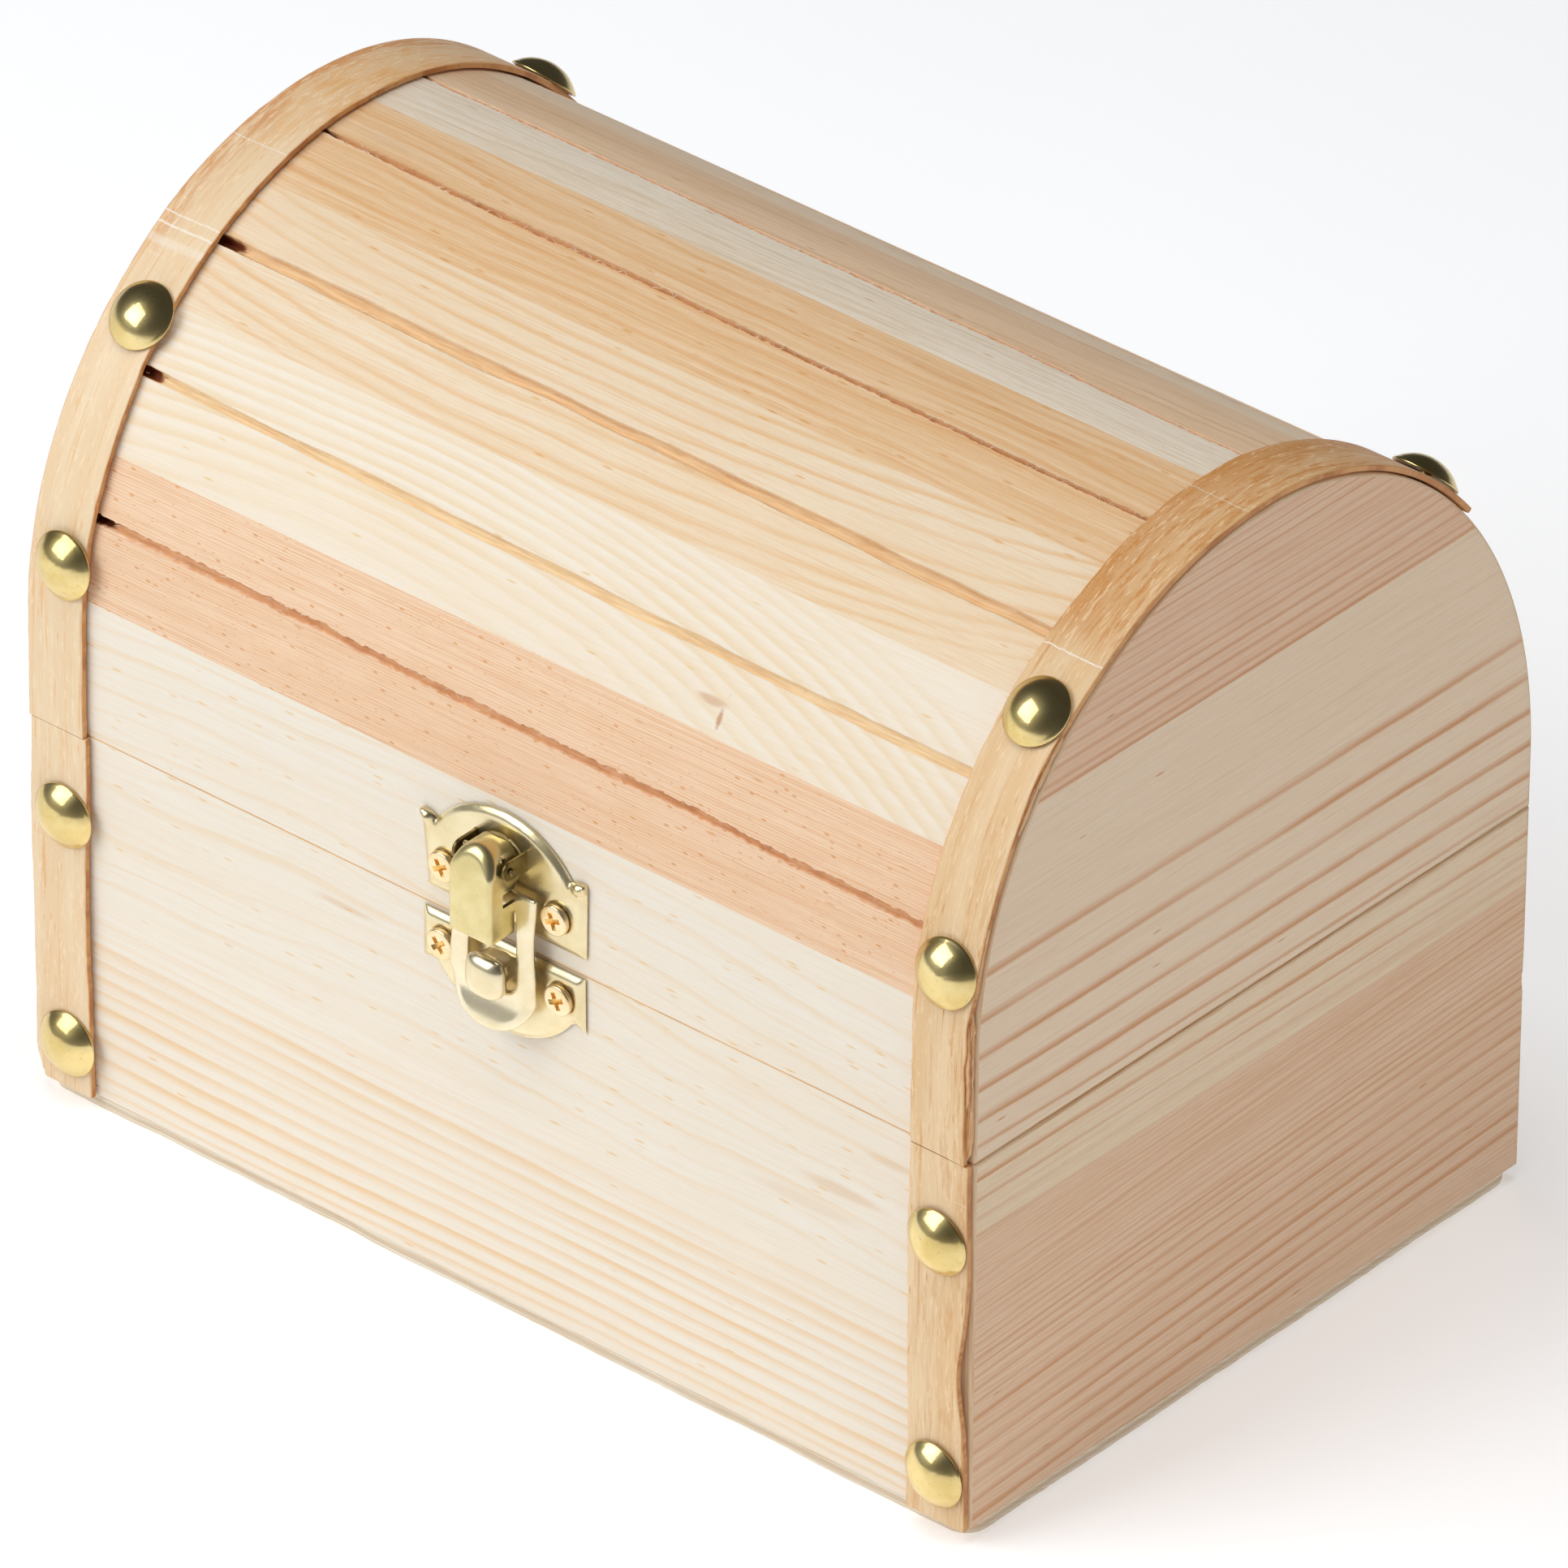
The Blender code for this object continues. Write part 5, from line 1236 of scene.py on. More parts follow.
none = lambda s: 0 * s
S_END = ARCH_ZF + ARCH_RF * math.radians(BAND_END)
put(band("veneer_base_left", -1, 2.3, SPLIT_Z - 0.05, M["veneer_l"], 101,
         lambda s: 0.22 * fractal1(s, 0.05, 102) + 0.05 * noise1(s, 0.7, 103) - 0.3 * smooth(20, 5, s),
         lambda s: 0.18 + 0.14 * fractal1(s, 0.06, 104) + 1.6 * smooth(7.0, 1.5, s),
         lambda s: 0.0 * s, lambda s: bump_at(s, 26, 9, 0.18)), "base", "band_base_left", slot="veneer")
put(band("veneer_lid_left", -1, SPLIT_Z + 0.05, S_END, M["veneer_l"], 111,
         lambda s: 0.20 * fractal1(s, 0.035, 112) + 0.05 * noise1(s, 0.7, 113),
         lambda s: 0.15 + 0.13 * fractal1(s, 0.04, 114),
         lambda s: 0.0 * s, lambda s: bump_at(s, 92, 8, 0.20) + bump_at(s, 118, 14, 0.22) + bump_at(s, 150, 10, 0.12)),
    "lid", "band_lid_left", slot="veneer")
put(band("veneer_base_right", 1, 2.3, SPLIT_Z - 0.09, M["veneer_r"], 121,
         lambda s: 0.22 * fractal1(s, 0.06, 122) + 0.06 * noise1(s, 0.7, 123),
         lambda s: 0.12 + 0.10 * fractal1(s, 0.07, 124) + bump_at(s, 25.5, 7.5, 0.95) + 0.5 * smooth(50, 57, s) * 0,
         lambda s: bump_at(s, 26, 8.5, 0.55) + bump_at(s, 54, 3, 0.15), lambda s: bump_at(s, 27, 8, 0.15)),
    "base", "band_base_right", slot="veneer")
put(band("veneer_lid_right", 1, SPLIT_Z + 0.09, S_END, M["veneer_r"], 131,
         lambda s: 0.22 * fractal1(s, 0.04, 132) + 0.06 * noise1(s, 0.7, 133),
         lambda s: 0.10 + 0.12 * fractal1(s, 0.05, 134) + 0.75 * smooth(84, 78, s) * (1 + 0.3 * noise1(s, 0.3, 135)) + bump_at(s, 112, 5, 0.25),
         lambda s: 0.22 * smooth(86, 74, s) + bump_at(s, 112, 8, 0.25), lambda s: bump_at(s, 66, 5, 0.12)),
    "lid", "band_lid_right", slot="veneer")


def split_layers():
    """Where the right-hand band's edge has split: thin plies showing beside and under its top layer."""
    Vs, Fs, UVs, Cs, n = [], [], [], [], 0

    def add(V, F, cut_, uv=None):
        nonlocal n
        V = np.array(V)
        Vs.append(V)
        Fs.extend([tuple(i + n for i in f) for f in F])
        UVs.append(V[:, [0, 2]] if uv is None else uv)
        Cs.append(np.full(len(V), cut_))
        n += len(V)

    for s0, s1, o0, o1, xa, xb, seed in ((58.4, 82.0, 0.30, 0.62, 78.9, 79.93, 201), (66.0, 80.0, 0.66, 0.95, 79.0, 79.62, 204),
                                        (103.0, 121.0, 0.28, 0.7, 79.0, 79.95, 207), (84.0, 96.0, 0.5, 0.8, 79.3, 79.97, 209)):
        s = np.arange(s0, s1, 0.5)
        taper = smooth(s0 - 0.5, s0 + 2.0, s) * smooth(s1 + 0.5, s1 - 5.0, s)
        jag = 0.12 * noise1(s, 0.8, seed) + 0.08 * noise1(s, 2.1, seed + 1)
        xo = xa + (xb - xa) * taper + jag * taper
        xo = np.minimum(xo, 79.98)
        rowsV, rowsUV = [], []
        for x, o in ((xa - 0.5 + 0 * s, o0), (xo, o0), (xo - 0.05, o1), (xa - 0.5 + 0 * s, o1)):
            y, z, _, _ = outline(s, o + 0.05 * noise1(s, 0.4, seed + 2) + 0.12 * taper * smooth(0, 1, (x - xa + 0.5)))
            rowsV.append(np.stack([x, y, z], -1))
            rowsUV.append(np.stack([x, s], -1))
        V = np.concatenate(rowsV)
        c = len(s)
        F = grid_faces(4, c)[:, ::-1].tolist() + [(3 * c + k, 3 * c + k + 1, k + 1, k) for k in range(c - 1)]
        add(V, F, 0.45, np.concatenate(rowsUV))
    rng = np.random.default_rng(77)
    for k in range(46):
        s = rng.uniform(60, 122)
        x = rng.uniform(79.2, 79.85)
        y, z, ny, nz = outline(np.array([s, s + rng.uniform(0.8, 2.2), s + rng.uniform(2.3, 3.6)]), np.array([0.7, 0.9, 1.05]) + rng.uniform(-0.2, 0.15))
        px = np.array([x - 0.1, x, min(79.98, x + rng.uniform(0.0, 0.25))])
        V, F = fibre_tube(np.stack([px, y, z], -1), rng.uniform(0.03, 0.07))
        add(V, F, 0.1)
    return make_object("veneer_split_layers", np.concatenate(Vs), Fs, M["veneer_r"], uv=np.concatenate(UVs), attrs={"cut": np.concatenate(Cs)}, angle=30)


put(split_layers(), "lid")


def loose_fibres(name, spots, mat_key, seed):
    """Hair-fine splinters: (run, x, length along x, length along s, rise, width)."""
    Vs, Fs, n = [], [], 0
    for s, x, dx, ds, rise, w in spots:
        t = np.linspace(0, 1, 5)
        y, z, _, _ = outline(s + ds * t + 0.15 * np.sin(t * 3 + s), -0.10 + rise * t ** 1.4)
        P = np.stack([x + dx * t + 0.12 * np.sin(t * 4 + x), y, z], -1)
        V, F = fibre_tube(P, w)
        Vs.append(V)
        Fs += [tuple(i + n for i in f) for f in F]
        n += len(V)
    V = np.concatenate(Vs)
    return make_object(name, V, Fs, M[mat_key], uv=V[:, [0, 2]], attrs={"cut": np.zeros(len(V))}, angle=30)


rng = np.random.default_rng(5)
lid_spots = []
for g, count in ((0, 130), (3, 110), (4, 110), (1, 22), (2, 26)):
    for _ in range(count):
        x = rng.uniform(-69, 70)
        hw = GROOVES[g][2]
        low = rng.random() < 0.68
        s = float(groove_line(g, x)) + (-hw * 0.95 if low else hw * 0.95) + rng.uniform(-0.12, 0.12)
        lid_spots.append((s, x, rng.choice([-1, 1]) * rng.uniform(0.3, 1.3), (1 if low else -1) * rng.uniform(0.0, 0.45), rng.uniform(0.05, 0.25), rng.uniform(0.03, 0.075 if g in (3, 4) else 0.05)))
for s in np.arange(60, 200, 2.2):           # fluff along the bands' inner edges
    for sx in (-1, 1):
        if rng.random() < 0.55:
            lid_spots.append((s, sx * 70.25, -sx * rng.uniform(0.1, 0.6), rng.uniform(-0.6, 0.8), rng.uniform(0.1, 0.5), rng.uniform(0.02, 0.035)))
lid_spots += [(92.6, -54.6, 1.2, -1.7, 0.25, 0.06), (103.0, 31.0, 0.9, 2.2, 0.12, 0.07)]
put(loose_fibres("lid_splinters", lid_spots, "pale", 6), "lid")
base_spots = [(s, sx * 70.2, -sx * rng.uniform(0.1, 0.5), rng.uniform(-0.6, 0.8), rng.uniform(0.1, 0.4), rng.uniform(0.02, 0.035))
              for s in np.arange(4, 57, 2.4) for sx in (-1, 1) if rng.random() < 0.6]
base_spots += [(3.6, -70.4, 2.6, 0.9, 0.9, 0.10), (5.2, -70.3, 1.4, 1.6, 0.7, 0.07)]
put(loose_fibres("base_splinters", base_spots, "pale", 7), "base")


# ---------------------------------------------------------------- domed nails
def nail(name, x, s, body, k):
    R, H = 4.78, 2.42
    y, z, ny, nz = outline(np.array([s]), np.array([BAND_LIFT + BAND_T + 0.32]))
    rs = (R ** 2 + H ** 2) / (2 * H)
    top = [(0.0, H)]
    for i in range(1, 15):
        a = math.asin((R - 0.05) / rs) * i / 14
        top.append((rs * math.sin(a), H - rs + rs * math.cos(a)))
    prof = top[:-1] + [(R - 0.04, 0.16), (R, 0.04), (R - 0.03, -0.06), (R - 0.35, -0.10), (R - 0.6, 0.12), (0.9, 0.30), (0.8, 0.0), (0.8, -8.0), (0.3, -9.5), (0.0, -9.6)]
    tilt = 0.035
    n = Vector((tilt * math.sin(k * 2.1), float(ny[0]), float(nz[0])))
    n = (n + Vector((0, 0, tilt * math.cos(k * 1.7)))).normalized()
    return revolve(name, prof, (x, float(y[0]), float(z[0])), n, M["brass_nail"], seg=56, dent=0.055, seed=700 + 13 * k)


def arch_s(deg):
    return ARCH_ZF + ARCH_RF * math.radians(deg)


k = 0
for tag, x, low, mid, rear in (("left", -73.8, 9.1, 44.5, 131.5), ("right", 75.1, 11.0, 47.0, 131.5)):
    for part, s, body in (("nail_base_%s_lower", 9.4, "base"), ("nail_base_%s_upper", 44.9, "base"), ("nail_lid_%s_front", arch_s(low), "lid"),
                          ("nail_lid_%s_middle", arch_s(mid), "lid"), ("nail_lid_%s_rear", arch_s(rear), "lid")):
        nm = part % tag
        put(nail(nm.replace("nail", "tack"), x, s, body, k), body, nm, slot="brass")
        k += 1


# ---------------------------------------------------------------- latch: two dished plates
UP_SCREWS = ((LX - 9.6, 65.4), (LX + 9.5, 65.5))
LOW_SCREWS = ((LX - 9.9, 53.5), (LX + 10.1, 53.6))


def plate_front(x, z, d, ears):
    """Dished face: flat in the middle, rolled back towards the rim, corner ears curled forward."""
    o = 0.30 + 0.68 * smooth(-0.15, 1.15, d) + 0.008 * fractal1(x + 2 * z, 0.25, 31)
    if ears:
        # pocket behind the lever's head
        o = o - 0.55 * smooth(1.05, 0.92, np.hypot((x - LX) / 3.5, (z - 71.2) / 2.7))
    for ex, ez, sx in ears:
        r = np.hypot((x - ex) * 1.0, (z - ez) * 1.25)
        o = o + 0.62 * smooth(1.9, 0.5, r) * smooth(0.0, 0.25, d + 0.12)
    return o


def plate_pair():
    up = ([(LX - 13.7, 60.9), (LX + 13.9, 60.7), (LX + 14.0, 72.0), (LX + 12.2, 71.9)] + arc(LX, 71.5, 11.4, 5.8, 26)
          + [(LX - 12.2, 72.1), (LX - 14.0, 72.3)])
    pts = round_corners(up[:4], [0.9, 0.5, 0.5, 0.3], 4) + up[4:-2] + round_corners([up[-3], up[-2], up[-1], up[0]], 0.5, 3)[4:12]
    ears = ((LX + 13.2, 71.5, 1), (LX - 13.2, 71.7, -1))
    a = pressed("latch_plate_upper", [pts] + [ring(x, z, 1.35, 20) for x, z in UP_SCREWS],
                lambda x, z, d: plate_front(x, z, d, ears), lambda x, z, d: 0.16 + 0.0 * x, M["brass"])
    low = ([(LX + 13.7, 57.65), (LX - 13.7, 57.55), (LX - 13.7, 49.8), (LX - 12.1, 50.0)]
           + list(reversed(arc(LX, 49.9, 11.4, 5.8, 26, up=False))) + [(LX + 12.1, 50.3), (LX + 13.8, 49.4)])
    b = pressed("latch_plate_lower", [low] + [ring(x, z, 1.35, 20) for x, z in LOW_SCREWS],
                lambda x, z, d: plate_front(x, z, d, ()), lambda x, z, d: 0.25 + 0.0 * x, M["brass"])
    return a, b


plate_up, plate_low = plate_pair()


def box_tool(lo, hi, r=0.0):
    ob = rounded_block("tool", lo, hi, max(r, 0.01), M["brass"], seg=2)
    return ob


def lug_piece():
    """The two ears folded out of the upper plate that the lever turns on."""
    Vs, Fs, n = [], [], 0
    R = 1.4
    for s in (-1, 1):
        xa, xb = LX + s * 3.92, LX + s * 4.45
        prof = [(0.3, PIVOT_Z - R - 0.5), (0.9, PIVOT_Z - R - 0.12), (1.5, PIVOT_Z - R)]
        prof += [(PIVOT_O + R * math.sin(a), PIVOT_Z - R * math.cos(a)) for a in np.linspace(0, math.pi, 19)]
        prof += [(1.5, PIVOT_Z + R), (0.9, PIVOT_Z + R + 0.12), (0.3, PIVOT_Z + R + 0.5)]
        c = len(prof)
        P = np.array(prof)
        cen = P.mean(0)
        layers = [(xa, 0.93), (xa + (xb - xa) * 0.12, 0.985), (xa + (xb - xa) * 0.3, 1.0), (xa + (xb - xa) * 0.7, 1.0), (xa + (xb - xa) * 0.88, 0.985), (xb, 0.93)]
        V = []
        for x, k in layers:
            q = cen + (P - cen) * k
            V += [(x, o2y(o), z) for o, z in q]
        F = grid_faces(len(layers), c, wrap=True).tolist() + [list(range(c)), [(len(layers) - 1) * c + i for i in range(c)][::-1]]
        Vs += V
        Fs += [[i + n for i in f] for f in F]
        n += len(V)
    # the lugs take the dark brass of painted shade
    ob = make_object("latch_lugs", Vs, Fs, M["brass_dark"], angle=40)
    bm = bmesh.new()
    bm.from_mesh(ob.data)
    bmesh.ops.recalc_face_normals(bm, faces=bm.faces)
    bm.to_mesh(ob.data)
    bm.free()
    return ob


put(plate_up, "lid", "latch_upper_plate", slot="brass")
put(lug_piece(), "lid")


def knob():
    """The hook: a rounded boss standing out of the lower plate, narrower below its lip."""
    rows, cols = 26, 40
    ang = np.linspace(0, 2 * math.pi, cols, endpoint=False)
    V = []
    # from the plate outwards: (o, share of full size)
    prof = [(0.8, 0.80), (1.6, 0.80), (2.4, 0.82), (3.0, 0.84), (3.35, 0.90), (3.5, 0.97), (3.7, 1.0), (4.1, 1.0), (4.5, 0.985)]
    prof += [(4.5 + 1.05 * math.sin(t), 0.30 + 0.685 * math.cos(t) ** 0.85) for t in np.linspace(0.12, math.pi / 2 - 0.06, 15)]
    for o, k in prof:
        hw, hh, p = 3.25 * k, 2.9 * k, 3.4
        cx, sx = np.cos(ang), np.sin(ang)
        rr = (np.abs(cx) ** p + np.abs(sx) ** p) ** (-1 / p)
        x, z = hw * rr * cx, hh * rr * sx
        # the stem leaves the lip free on its lower side
        z = np.where((o < 3.4) & (z < 0), z * 0.50, z)
        lean = 0.20 * (o - 4.5) * (o > 4.5)
        oo = o - 0.045 * x ** 2 * (o > 4.4) - 0.03 * np.maximum(0, z) ** 2 * (o > 4.4)
        V.append(np.stack([LX + x, o2y(oo), 54.25 + z - lean], -1))
    V = np.concatenate(V)
    F = grid_faces(len(prof), cols, wrap=True).tolist()
    F += [list(range(cols)), [(len(prof) - 1) * cols + i for i in range(cols)][::-1]]
    ob = make_object("latch_hook", V, F, M["brass_bright"], angle=80)
    bm = bmesh.new()
    bm.from_mesh(ob.data)
    bmesh.ops.recalc_face_normals(bm, faces=bm.faces)
    bm.to_mesh(ob.data)
    bm.free()
    return ob


put(plate_low, "base", "latch_keeper_plate", slot="brass")
put(knob(), "base")


def tombstone(W, z0, zc, r, seg=22):
    """Flat-bottomed outline with a round head, as (x, z)."""
    c = 0.35
    pts = [(-W + c, z0), (-W + c * 0.3, z0 + c * 0.3), (-W, z0 + c)]
    pts += [(-W, z) for z in np.linspace(z0 + 1.0, zc, 12)]
    pts += [(-W * math.cos(a), zc + r * math.sin(a)) for a in np.linspace(0, math.pi, seg + 1)[1:-1]]
    pts += [(W, z) for z in np.linspace(zc, z0 + 1.0, 12)]
    pts += [(W, z0 + c), (W - c * 0.3, z0 + c * 0.3), (W - c, z0)]
    pts += [(x, z0) for x in np.linspace(W - c, -W + c, 9)[1:-1]]
    return np.array(pts)


def lever_front(z):
    z = np.asarray(z, float)
    return 7.22 - 0.012 * (z - 66.0) - 0.24 * np.maximum(0, z - 70.8) ** 1.05


def lever_back(z):
    """The head's back is turned about the pivot so that it clears the plate."""
    z = np.asarray(z, float)
    turn = PIVOT_O - np.sqrt(np.maximum(0.05, 3.30 ** 2 - np.maximum(0, z - PIVOT_Z) ** 2))
    return np.where(z < 68.6, 2.35, np.maximum(2.35 - 0.75 * smooth(68.6, 69.2, z), turn))


def tombstone_solid(name, W, z0, zc, rz, back, drop, edge, mat):
    steps = (0.0, 0.04, 0.12, 0.25, 0.42, 0.62, 0.85, 1.1, 1.4, 1.75, 2.15, 2.6, 3.0)
    loops = [(0.12, "back", 0.0), (0.0, "back", 0.14)] + [(q, "front", 0.0) for q in steps]
    V = []
    for inset, kind, extra in loops:
        inset = min(inset, W - 0.3)
        P = tombstone(W - inset, z0 + inset, zc, rz - inset)
        z = P[:, 1]
        if kind == "back":
            oo = (lever_back(z) if back is None else back + 0.0 * z) + extra
        else:
            E = edge * (1.0 + 0.85 * smooth(zc - 0.2, zc + 2.2, z))
            q = np.clip(1 - inset / E, 0, 1)
            oo = lever_front(z) - drop - E * (1 - np.sqrt(1 - q ** 2))
            oo = np.maximum(oo, (lever_back(z) if back is None else back) + 0.3)
        V.append(np.stack([LX + P[:, 0], o2y(oo), P[:, 1]], -1))
    n = len(V[0])
    F = grid_faces(len(loops), n, wrap=True).tolist() + [list(range(n)), [(len(loops) - 1) * n + i for i in range(n)][::-1]]
    ob = make_object(name, np.concatenate(V), F, mat, angle=60)
    bm = bmesh.new()
    bm.from_mesh(ob.data)
    bmesh.ops.triangulate(bm, faces=[f for f in bm.faces if len(f.verts) > 4])
    bmesh.ops.recalc_face_normals(bm, faces=bm.faces)
    bm.to_mesh(ob.data)
    bm.free()
    return ob


def lever():
    """Pressed cap: flat front, rolled edges, round head sloping back, a window in each side."""
    ob = tombstone_solid("latch_lever_shell", 3.6, 61.45, 70.95, 3.85, None, 0.0, 0.75, M["brass_lever"])
    core = tombstone_solid("tool", 3.02, 60.4, 70.4, 3.2, 0.6, 0.75, 0.4, M["brass_lever"])
    ob = cut(ob, core)
    ob = cut(ob, box_tool((LX - 6, o2y(4.7), 66.2), (LX + 6, o2y(1.2), 68.3), 0.2))
    set_uv(ob.data)
    return ob


put(lever(), "latch_lever", "latch_lever", slot="brass")


def bail():
    """Flat sprung ring with a broad dished foot and rolled edges."""
    W = 7.25
    out = [(LX + W - 0.1, 67.75), (LX - W + 0.1, 67.75), (LX - W, 67.5)]
    out += [(LX - W + 0.42 * math.sin((66.5 - z) / 11.5 * math.pi), z) for z in (65.0, 63.0, 61.0, 59.0, 57.0, 55.5)]
    out += [(LX + W * math.cos(a), 53.2 + 6.9 * math.sin(a)) for a in np.linspace(math.pi, 2 * math.pi, 34)]
    out += [(LX + W - 0.42 * math.sin((66.5 - z) / 11.5 * math.pi), z) for z in (55.5, 57.0, 59.0, 61.0, 63.0, 65.0)]
    out += [(LX + W, 67.5)]
    inn = round_corners([(LX - 4.05, 52.35), (LX + 4.05, 52.35), (LX + 3.85, 64.9), (LX - 3.85, 64.9)], [2.2, 2.2, 0.8, 0.8], 6)

    def mid(x, z):
        r = np.hypot(x - LX, z - 53.2)
        base = 2.30 + (67.8 - z) * math.tan(math.radians(1.0))
        # the foot: crowned across, its outer edge falling back to the plate
        low = smooth(53.6, 51.0, z)
        return base + 1.45 * smooth(51.9, 46.5, z) - 0.40 * low * smooth(5.9, 7.3, r)

    def front(x, z, d):
        return mid(x, z) + 0.40 * np.sqrt(np.clip(1 - (1 - np.clip(d / 0.75, 0, 1)) ** 2, 0, 1)) + 0.02

    def back(x, z, d):
        return mid(x, z) - 0.40 * np.sqrt(np.clip(1 - (1 - np.clip(d / 0.5, 0, 1)) ** 2, 0, 1)) - 0.02

    return pressed("latch_bail_ring", [out, inn], front, back, M["brass_bright"], step=0.40, angle=70)


put(bail(), "latch_bail", "latch_bail", slot="brass")


def bail_tail():
    """Tail and ears of the bail, inside the lever."""
    bp = (4.25, 73.09)
    P = [(2.35, 66.2), (2.4, 68.0), (2.55, 69.4), (3.1, 71.2), (3.8, 72.6), bp]
    V, n = [], 0
    for o, z in P:
        for x, d in ((-1.45, -0.27), (-1.25, -0.32), (1.25, -0.32), (1.45, -0.27), (1.45, 0.27), (1.25, 0.32), (-1.25, 0.32), (-1.45, 0.27)):
            V.append((LX + x, o2y(o + d), z))
    F = grid_faces(len(P), 8, wrap=True).tolist() + [list(range(8))[::-1], [(len(P) - 1) * 8 + i for i in range(8)]]
    n = len(V)
    ang = np.linspace(0, 2 * math.pi, 16, endpoint=False)
    xs = (-3.3, -3.2, 3.2, 3.3)
    for x, r in zip(xs, (0.34, 0.42, 0.42, 0.34)):
        V += [(LX + x, o2y(bp[0] + r * math.cos(a)), bp[1] + r * math.sin(a)) for a in ang]
    G = grid_faces(4, 16, start=n, wrap=True)
    F += G.tolist() + [list(range(n, n + 16)), [n + 48 + i for i in range(16)][::-1]]
    ob = make_object("latch_bail_tail", V, F, M["brass"], angle=40)
    bm = bmesh.new()
    bm.from_mesh(ob.data)
    bmesh.ops.recalc_face_normals(bm, faces=bm.faces)
    bm.to_mesh(ob.data)
    bm.free()
    return ob


put(bail_tail(), "latch_bail")

for s, tag in ((-1, "left"), (1, "right")):
    prof = [(0.0, 4.98), (0.3, 4.97), (0.46, 4.9), (0.5, 4.8), (0.5, 2.4), (0.42, 2.32), (0.0, 2.3)]
    # the rivets take the dark brass of painted shade
    ob = revolve("rivet_" + tag, prof, (LX, o2y(PIVOT_O), PIVOT_Z), (s, 0, 0), M["brass_dark"], seg=24)
    put(ob, "lid", "lever_rivet_" + tag, slot="fastener")


# ---------------------------------------------------------------- screws with a cross recess
def cross_screw(name, x, y, z, direction, R, H, deep, turn, k):
    d = Vector(direction).normalized()
    prof = [(0.0, H)]
    for i in range(1, 9):
        a = i / 8
        prof.append((R * (0.86 * a), H - 0.10 * a ** 2))
    prof += [(R * 0.94, H - 0.16), (R * 0.985, H - 0.28), (R, H - 0.42), (R * 0.99, 0.12), (R * 0.95, 0.0), (0.9, 0.0), (0.9, -deep + 1), (0.0, -deep)]
    head = revolve(name, prof, (x, y, z), d, M["screw"], seg=44, dent=0.01, seed=900 + k)
    head.data.materials.append(M["screw_deep"])
    t = Vector((1, 0, 0))
    up = d.cross(t).normalized()
    bm = bmesh.new()
    for q in (0, 1):
        ang = math.radians(turn + 90 * q)
        ax = t * math.cos(ang) + up * math.sin(ang)
        bx = -t * math.sin(ang) + up * math.cos(ang)
        L, Wd, dp = R * 0.58, R * 0.165, 0.6
        vs = []
        for hh, kk in ((H + 0.4, 1.12), (H - 0.05, 1.0), (H - dp, 0.40)):
            for sx, sy in ((-1, -1), (1, -1), (1, 1), (-1, 1)):
                p = Vector((x, y, z)) + ax * (sx * L * kk) + bx * (sy * Wd * (1 if kk > 0.9 else 0.7) * (1.0 + 0.003 * q)) + d * hh
                vs.append(bm.verts.new(p * MM))
        for r_ in (0, 4):
            for i in range(4):
                j = (i + 1) % 4
                bm.faces.new((vs[r_ + i], vs[r_ + j], vs[r_ + 4 + j], vs[r_ + 4 + i]))
        bm.faces.new(vs[0:4][::-1])
        bm.faces.new(vs[8:12])
        bmesh.ops.recalc_face_normals(bm, faces=bm.faces)
        me = bpy.data.meshes.new("cross")
        bm.to_mesh(me)
        bm.clear()
        me.materials.append(M["screw_deep"])
        tool = bpy.data.objects.new("cross", me)
        bpy.context.scene.collection.objects.link(tool)
        head = cut(head, tool)
    bm.free()
    # the recess takes a darker, more orange colour: painted shade
    me = head.data
    c0 = Vector((x, y, z)) * MM
    recess_shade_slot = next((i for i, m in enumerate(me.materials) if m and m.name == "plated_screw_cross_shade"), None)
    for p in me.polygons:
        h = (p.center - c0).dot(d) / MM
        rr = ((p.center - c0) - d * (p.center - c0).dot(d)).length / MM
        if rr < R * 0.72 and h < H - 0.11 - 0.10 * (rr / R) ** 2 and h > 0.1 and recess_shade_slot is not None:
            p.material_index = recess_shade_slot
    set_uv(me)
    return head


k = 0
for (x, z), tag, turn in ((UP_SCREWS[0], "upper_screw_left", 28), (UP_SCREWS[1], "upper_screw_right", 20)):
    put(cross_screw("cross_" + tag, x, o2y(1.02), z, (0, -1, 0), 2.2, 1.0, 5.6, turn, k), "lid", "latch_" + tag, slot="fastener")
    k += 1
for (x, z), tag, turn in ((LOW_SCREWS[0], "keeper_screw_left", 38), (LOW_SCREWS[1], "keeper_screw_right", 24)):
    put(cross_screw("cross_" + tag, x, o2y(1.02), z, (0, -1, 0), 2.2, 1.0, 6.0, turn, k), "base", "latch_" + tag, slot="fastener")
    k += 1


# ---------------------------------------------------------------- hinges: CAD pieces keep their shape and take a finish
def finish_cad(node, mat):
    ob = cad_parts[node]
    if not ob.data.uv_layers:
        pass
    for sl in ob.material_slots:
        sl.link = "OBJECT"
        sl.material = mat
    return ob


for tag in ("left", "right"):
    finish_cad("hinge_base_leaf_" + tag, M["brass"])
    finish_cad("hinge_lid_leaf_" + tag, M["brass"])
    finish_cad("hinge_pin_" + tag, M["screw"])
    for body in ("base", "lid"):
        for end in ("inner", "outer"):
            finish_cad("hinge_%s_screw_%s_%s" % (body, tag, end), M["screw"])


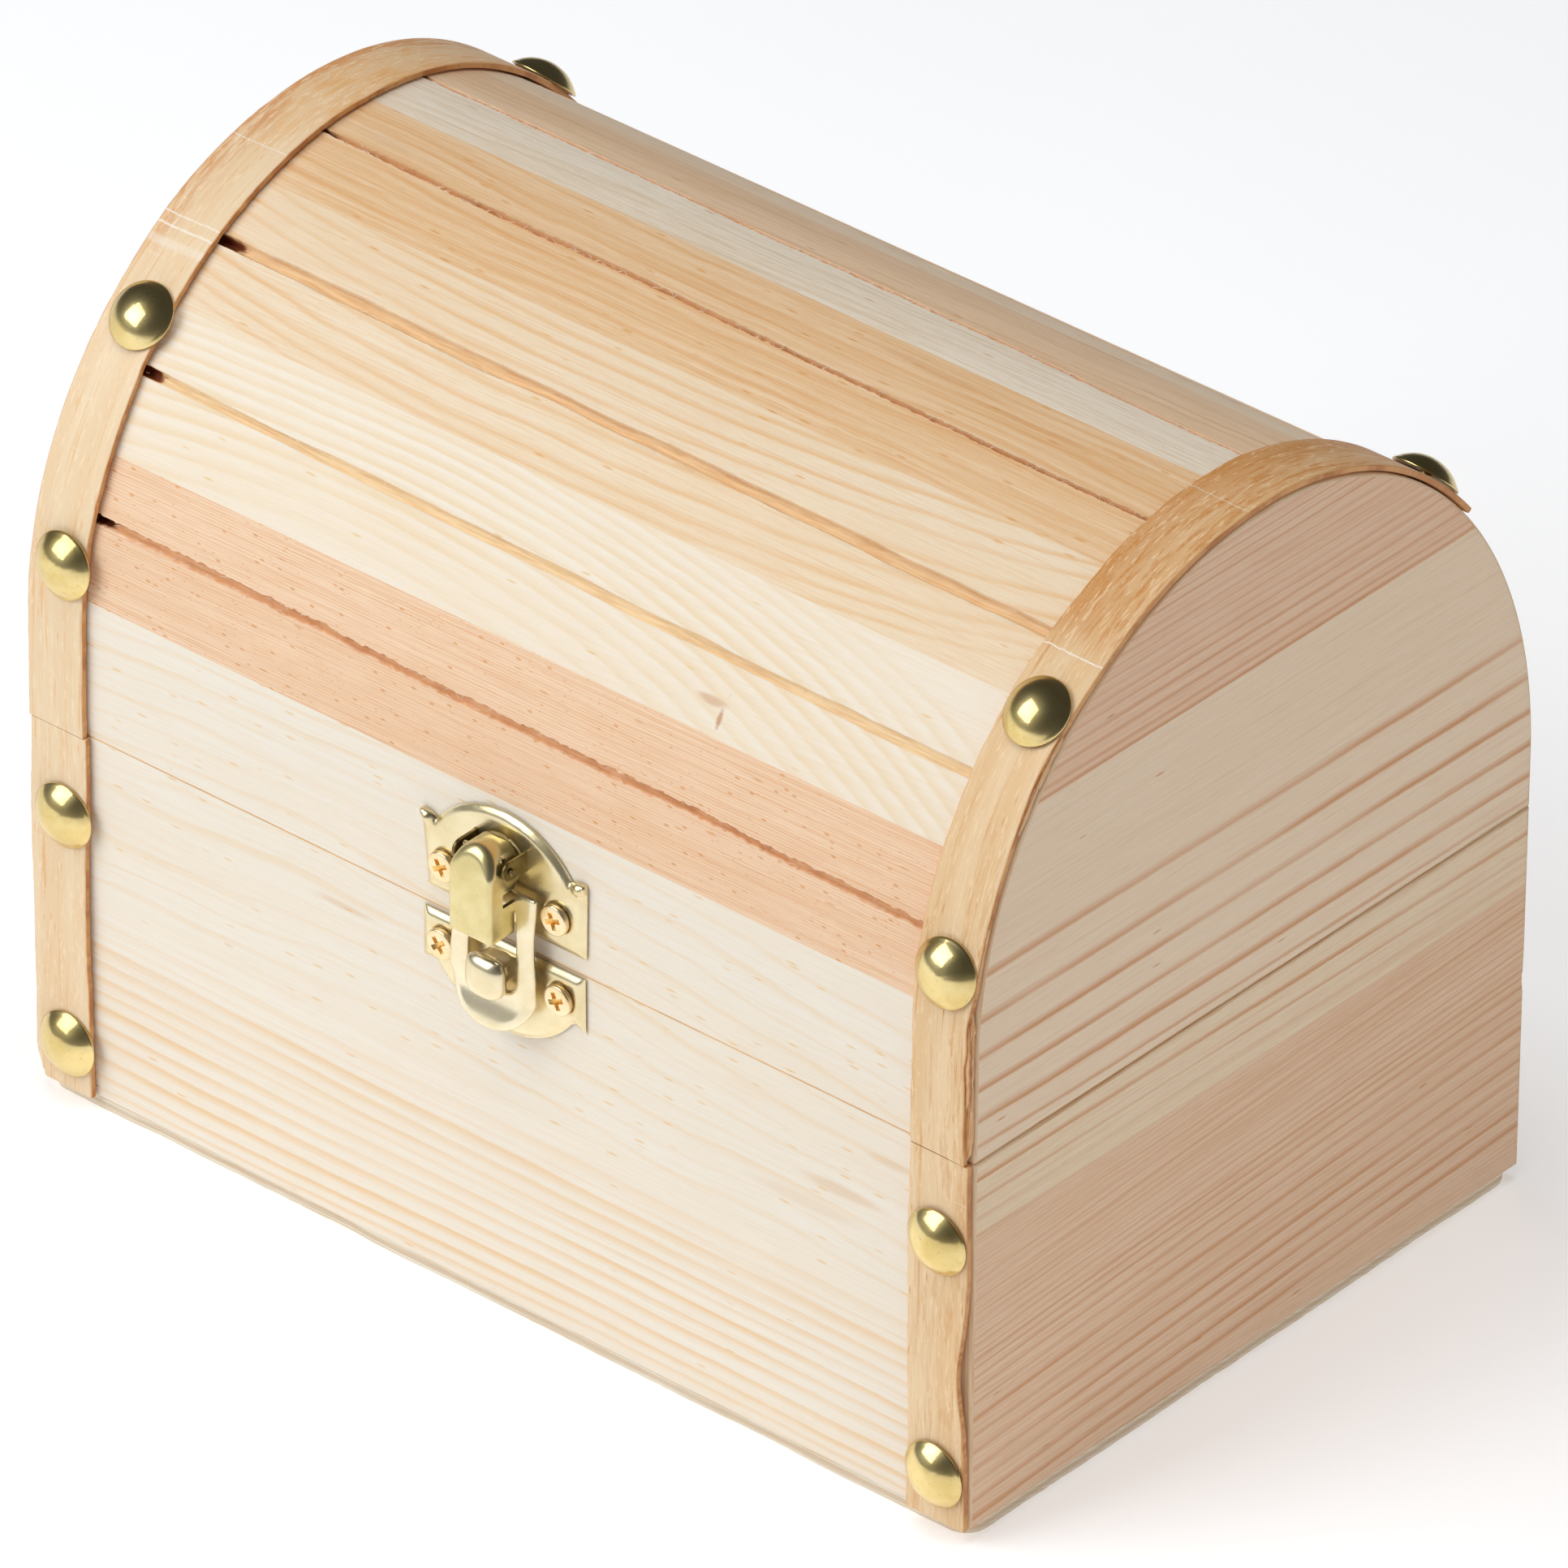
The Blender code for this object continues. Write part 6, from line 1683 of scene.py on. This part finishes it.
# ---------------------------------------------------------------- floor, light, camera
def floor():
    N = Nodes("studio_floor")
    tc = N.t.nodes.new("ShaderNodeTexCoord")
    a = N.noise(tc.outputs["Object"], 3.0, 4.0, 0.6)
    col = N.mix(N.span(a, 0.3, 0.7), (0.93, 0.93, 0.935), (0.955, 0.955, 0.955))
    mat = N.done(col, 0.75, spec=0.15)
    N.bsdf.inputs["Emission Color"].default_value = (1, 1, 1, 1)
    N.bsdf.inputs["Emission Strength"].default_value = 0.31
    n = 48
    x = np.linspace(-6000, 6000, n)
    X, Y = np.meshgrid(x, x)
    R = np.hypot(X, Y)
    Z = -0.02 + 0.0 * R
    V = np.stack([X, Y, Z], -1).reshape(-1, 3)
    return make_object("studio_floor", V, grid_faces(n, n), mat, uv=V[:, :2] / 100, angle=None)


floor()


def area(name, az, el, dist, size, power, colour=(1, 1, 1), target=(0, 0, 60), glossy=True, size_y=None):
    L = bpy.data.lights.new(name, "AREA")
    L.shape = "RECTANGLE"
    L.size = size * MM
    L.size_y = (size_y or size) * MM
    L.energy = power
    L.color = colour
    ob = bpy.data.objects.new(name, L)
    a, e = math.radians(az), math.radians(el)
    p = Vector((math.sin(a) * math.cos(e), -math.cos(a) * math.cos(e), math.sin(e))) * dist + Vector(target)
    ob.location = p * MM
    ob.rotation_euler = (p - Vector(target)).to_track_quat("Z", "Y").to_euler()
    bpy.context.scene.collection.objects.link(ob)
    ob.visible_glossy = glossy
    return ob


area("key_light", -33, 37, 1150, 860, 8.5, (0.955, 1.0, 1.03))
area("fill_right", 95, 35, 1400, 1100, 3.6, (1.0, 0.97, 0.95), glossy=False)
area("top_light", 10, 84, 1500, 900, 8.8, (1, 1, 1.02), glossy=False)

world = bpy.data.worlds.new("studio")
world.use_nodes = True
world.node_tree.nodes["Background"].inputs[0].default_value = (0.95, 0.97, 1.0, 1.0)
world.node_tree.nodes["Background"].inputs[1].default_value = 0.05
bpy.context.scene.world = world
bpy.context.scene.view_settings.view_transform = "Standard"

cam = bpy.data.cameras.new("camera")
cam.sensor_width = 36.0
cam.lens = 422.36
cam.clip_start = 0.1
cam.clip_end = 50.0
co = bpy.data.objects.new("camera", cam)
bpy.context.scene.collection.objects.link(co)
rx = Vector((0.7569985419971214, 0.6533790534331289, 0.007001424787913546))
ry = -Vector((0.3582551881096464, -0.40606229553354967, -0.8406941372095715))
rz = -Vector((-0.5464489249753851, 0.6389125328876031, -0.5414650013734897))
m = Matrix((rx, ry, rz)).transposed().to_4x4()
m.translation = Vector((1301.06, -1518.54, 1342.62)) * MM
co.matrix_world = m
bpy.context.scene.camera = co
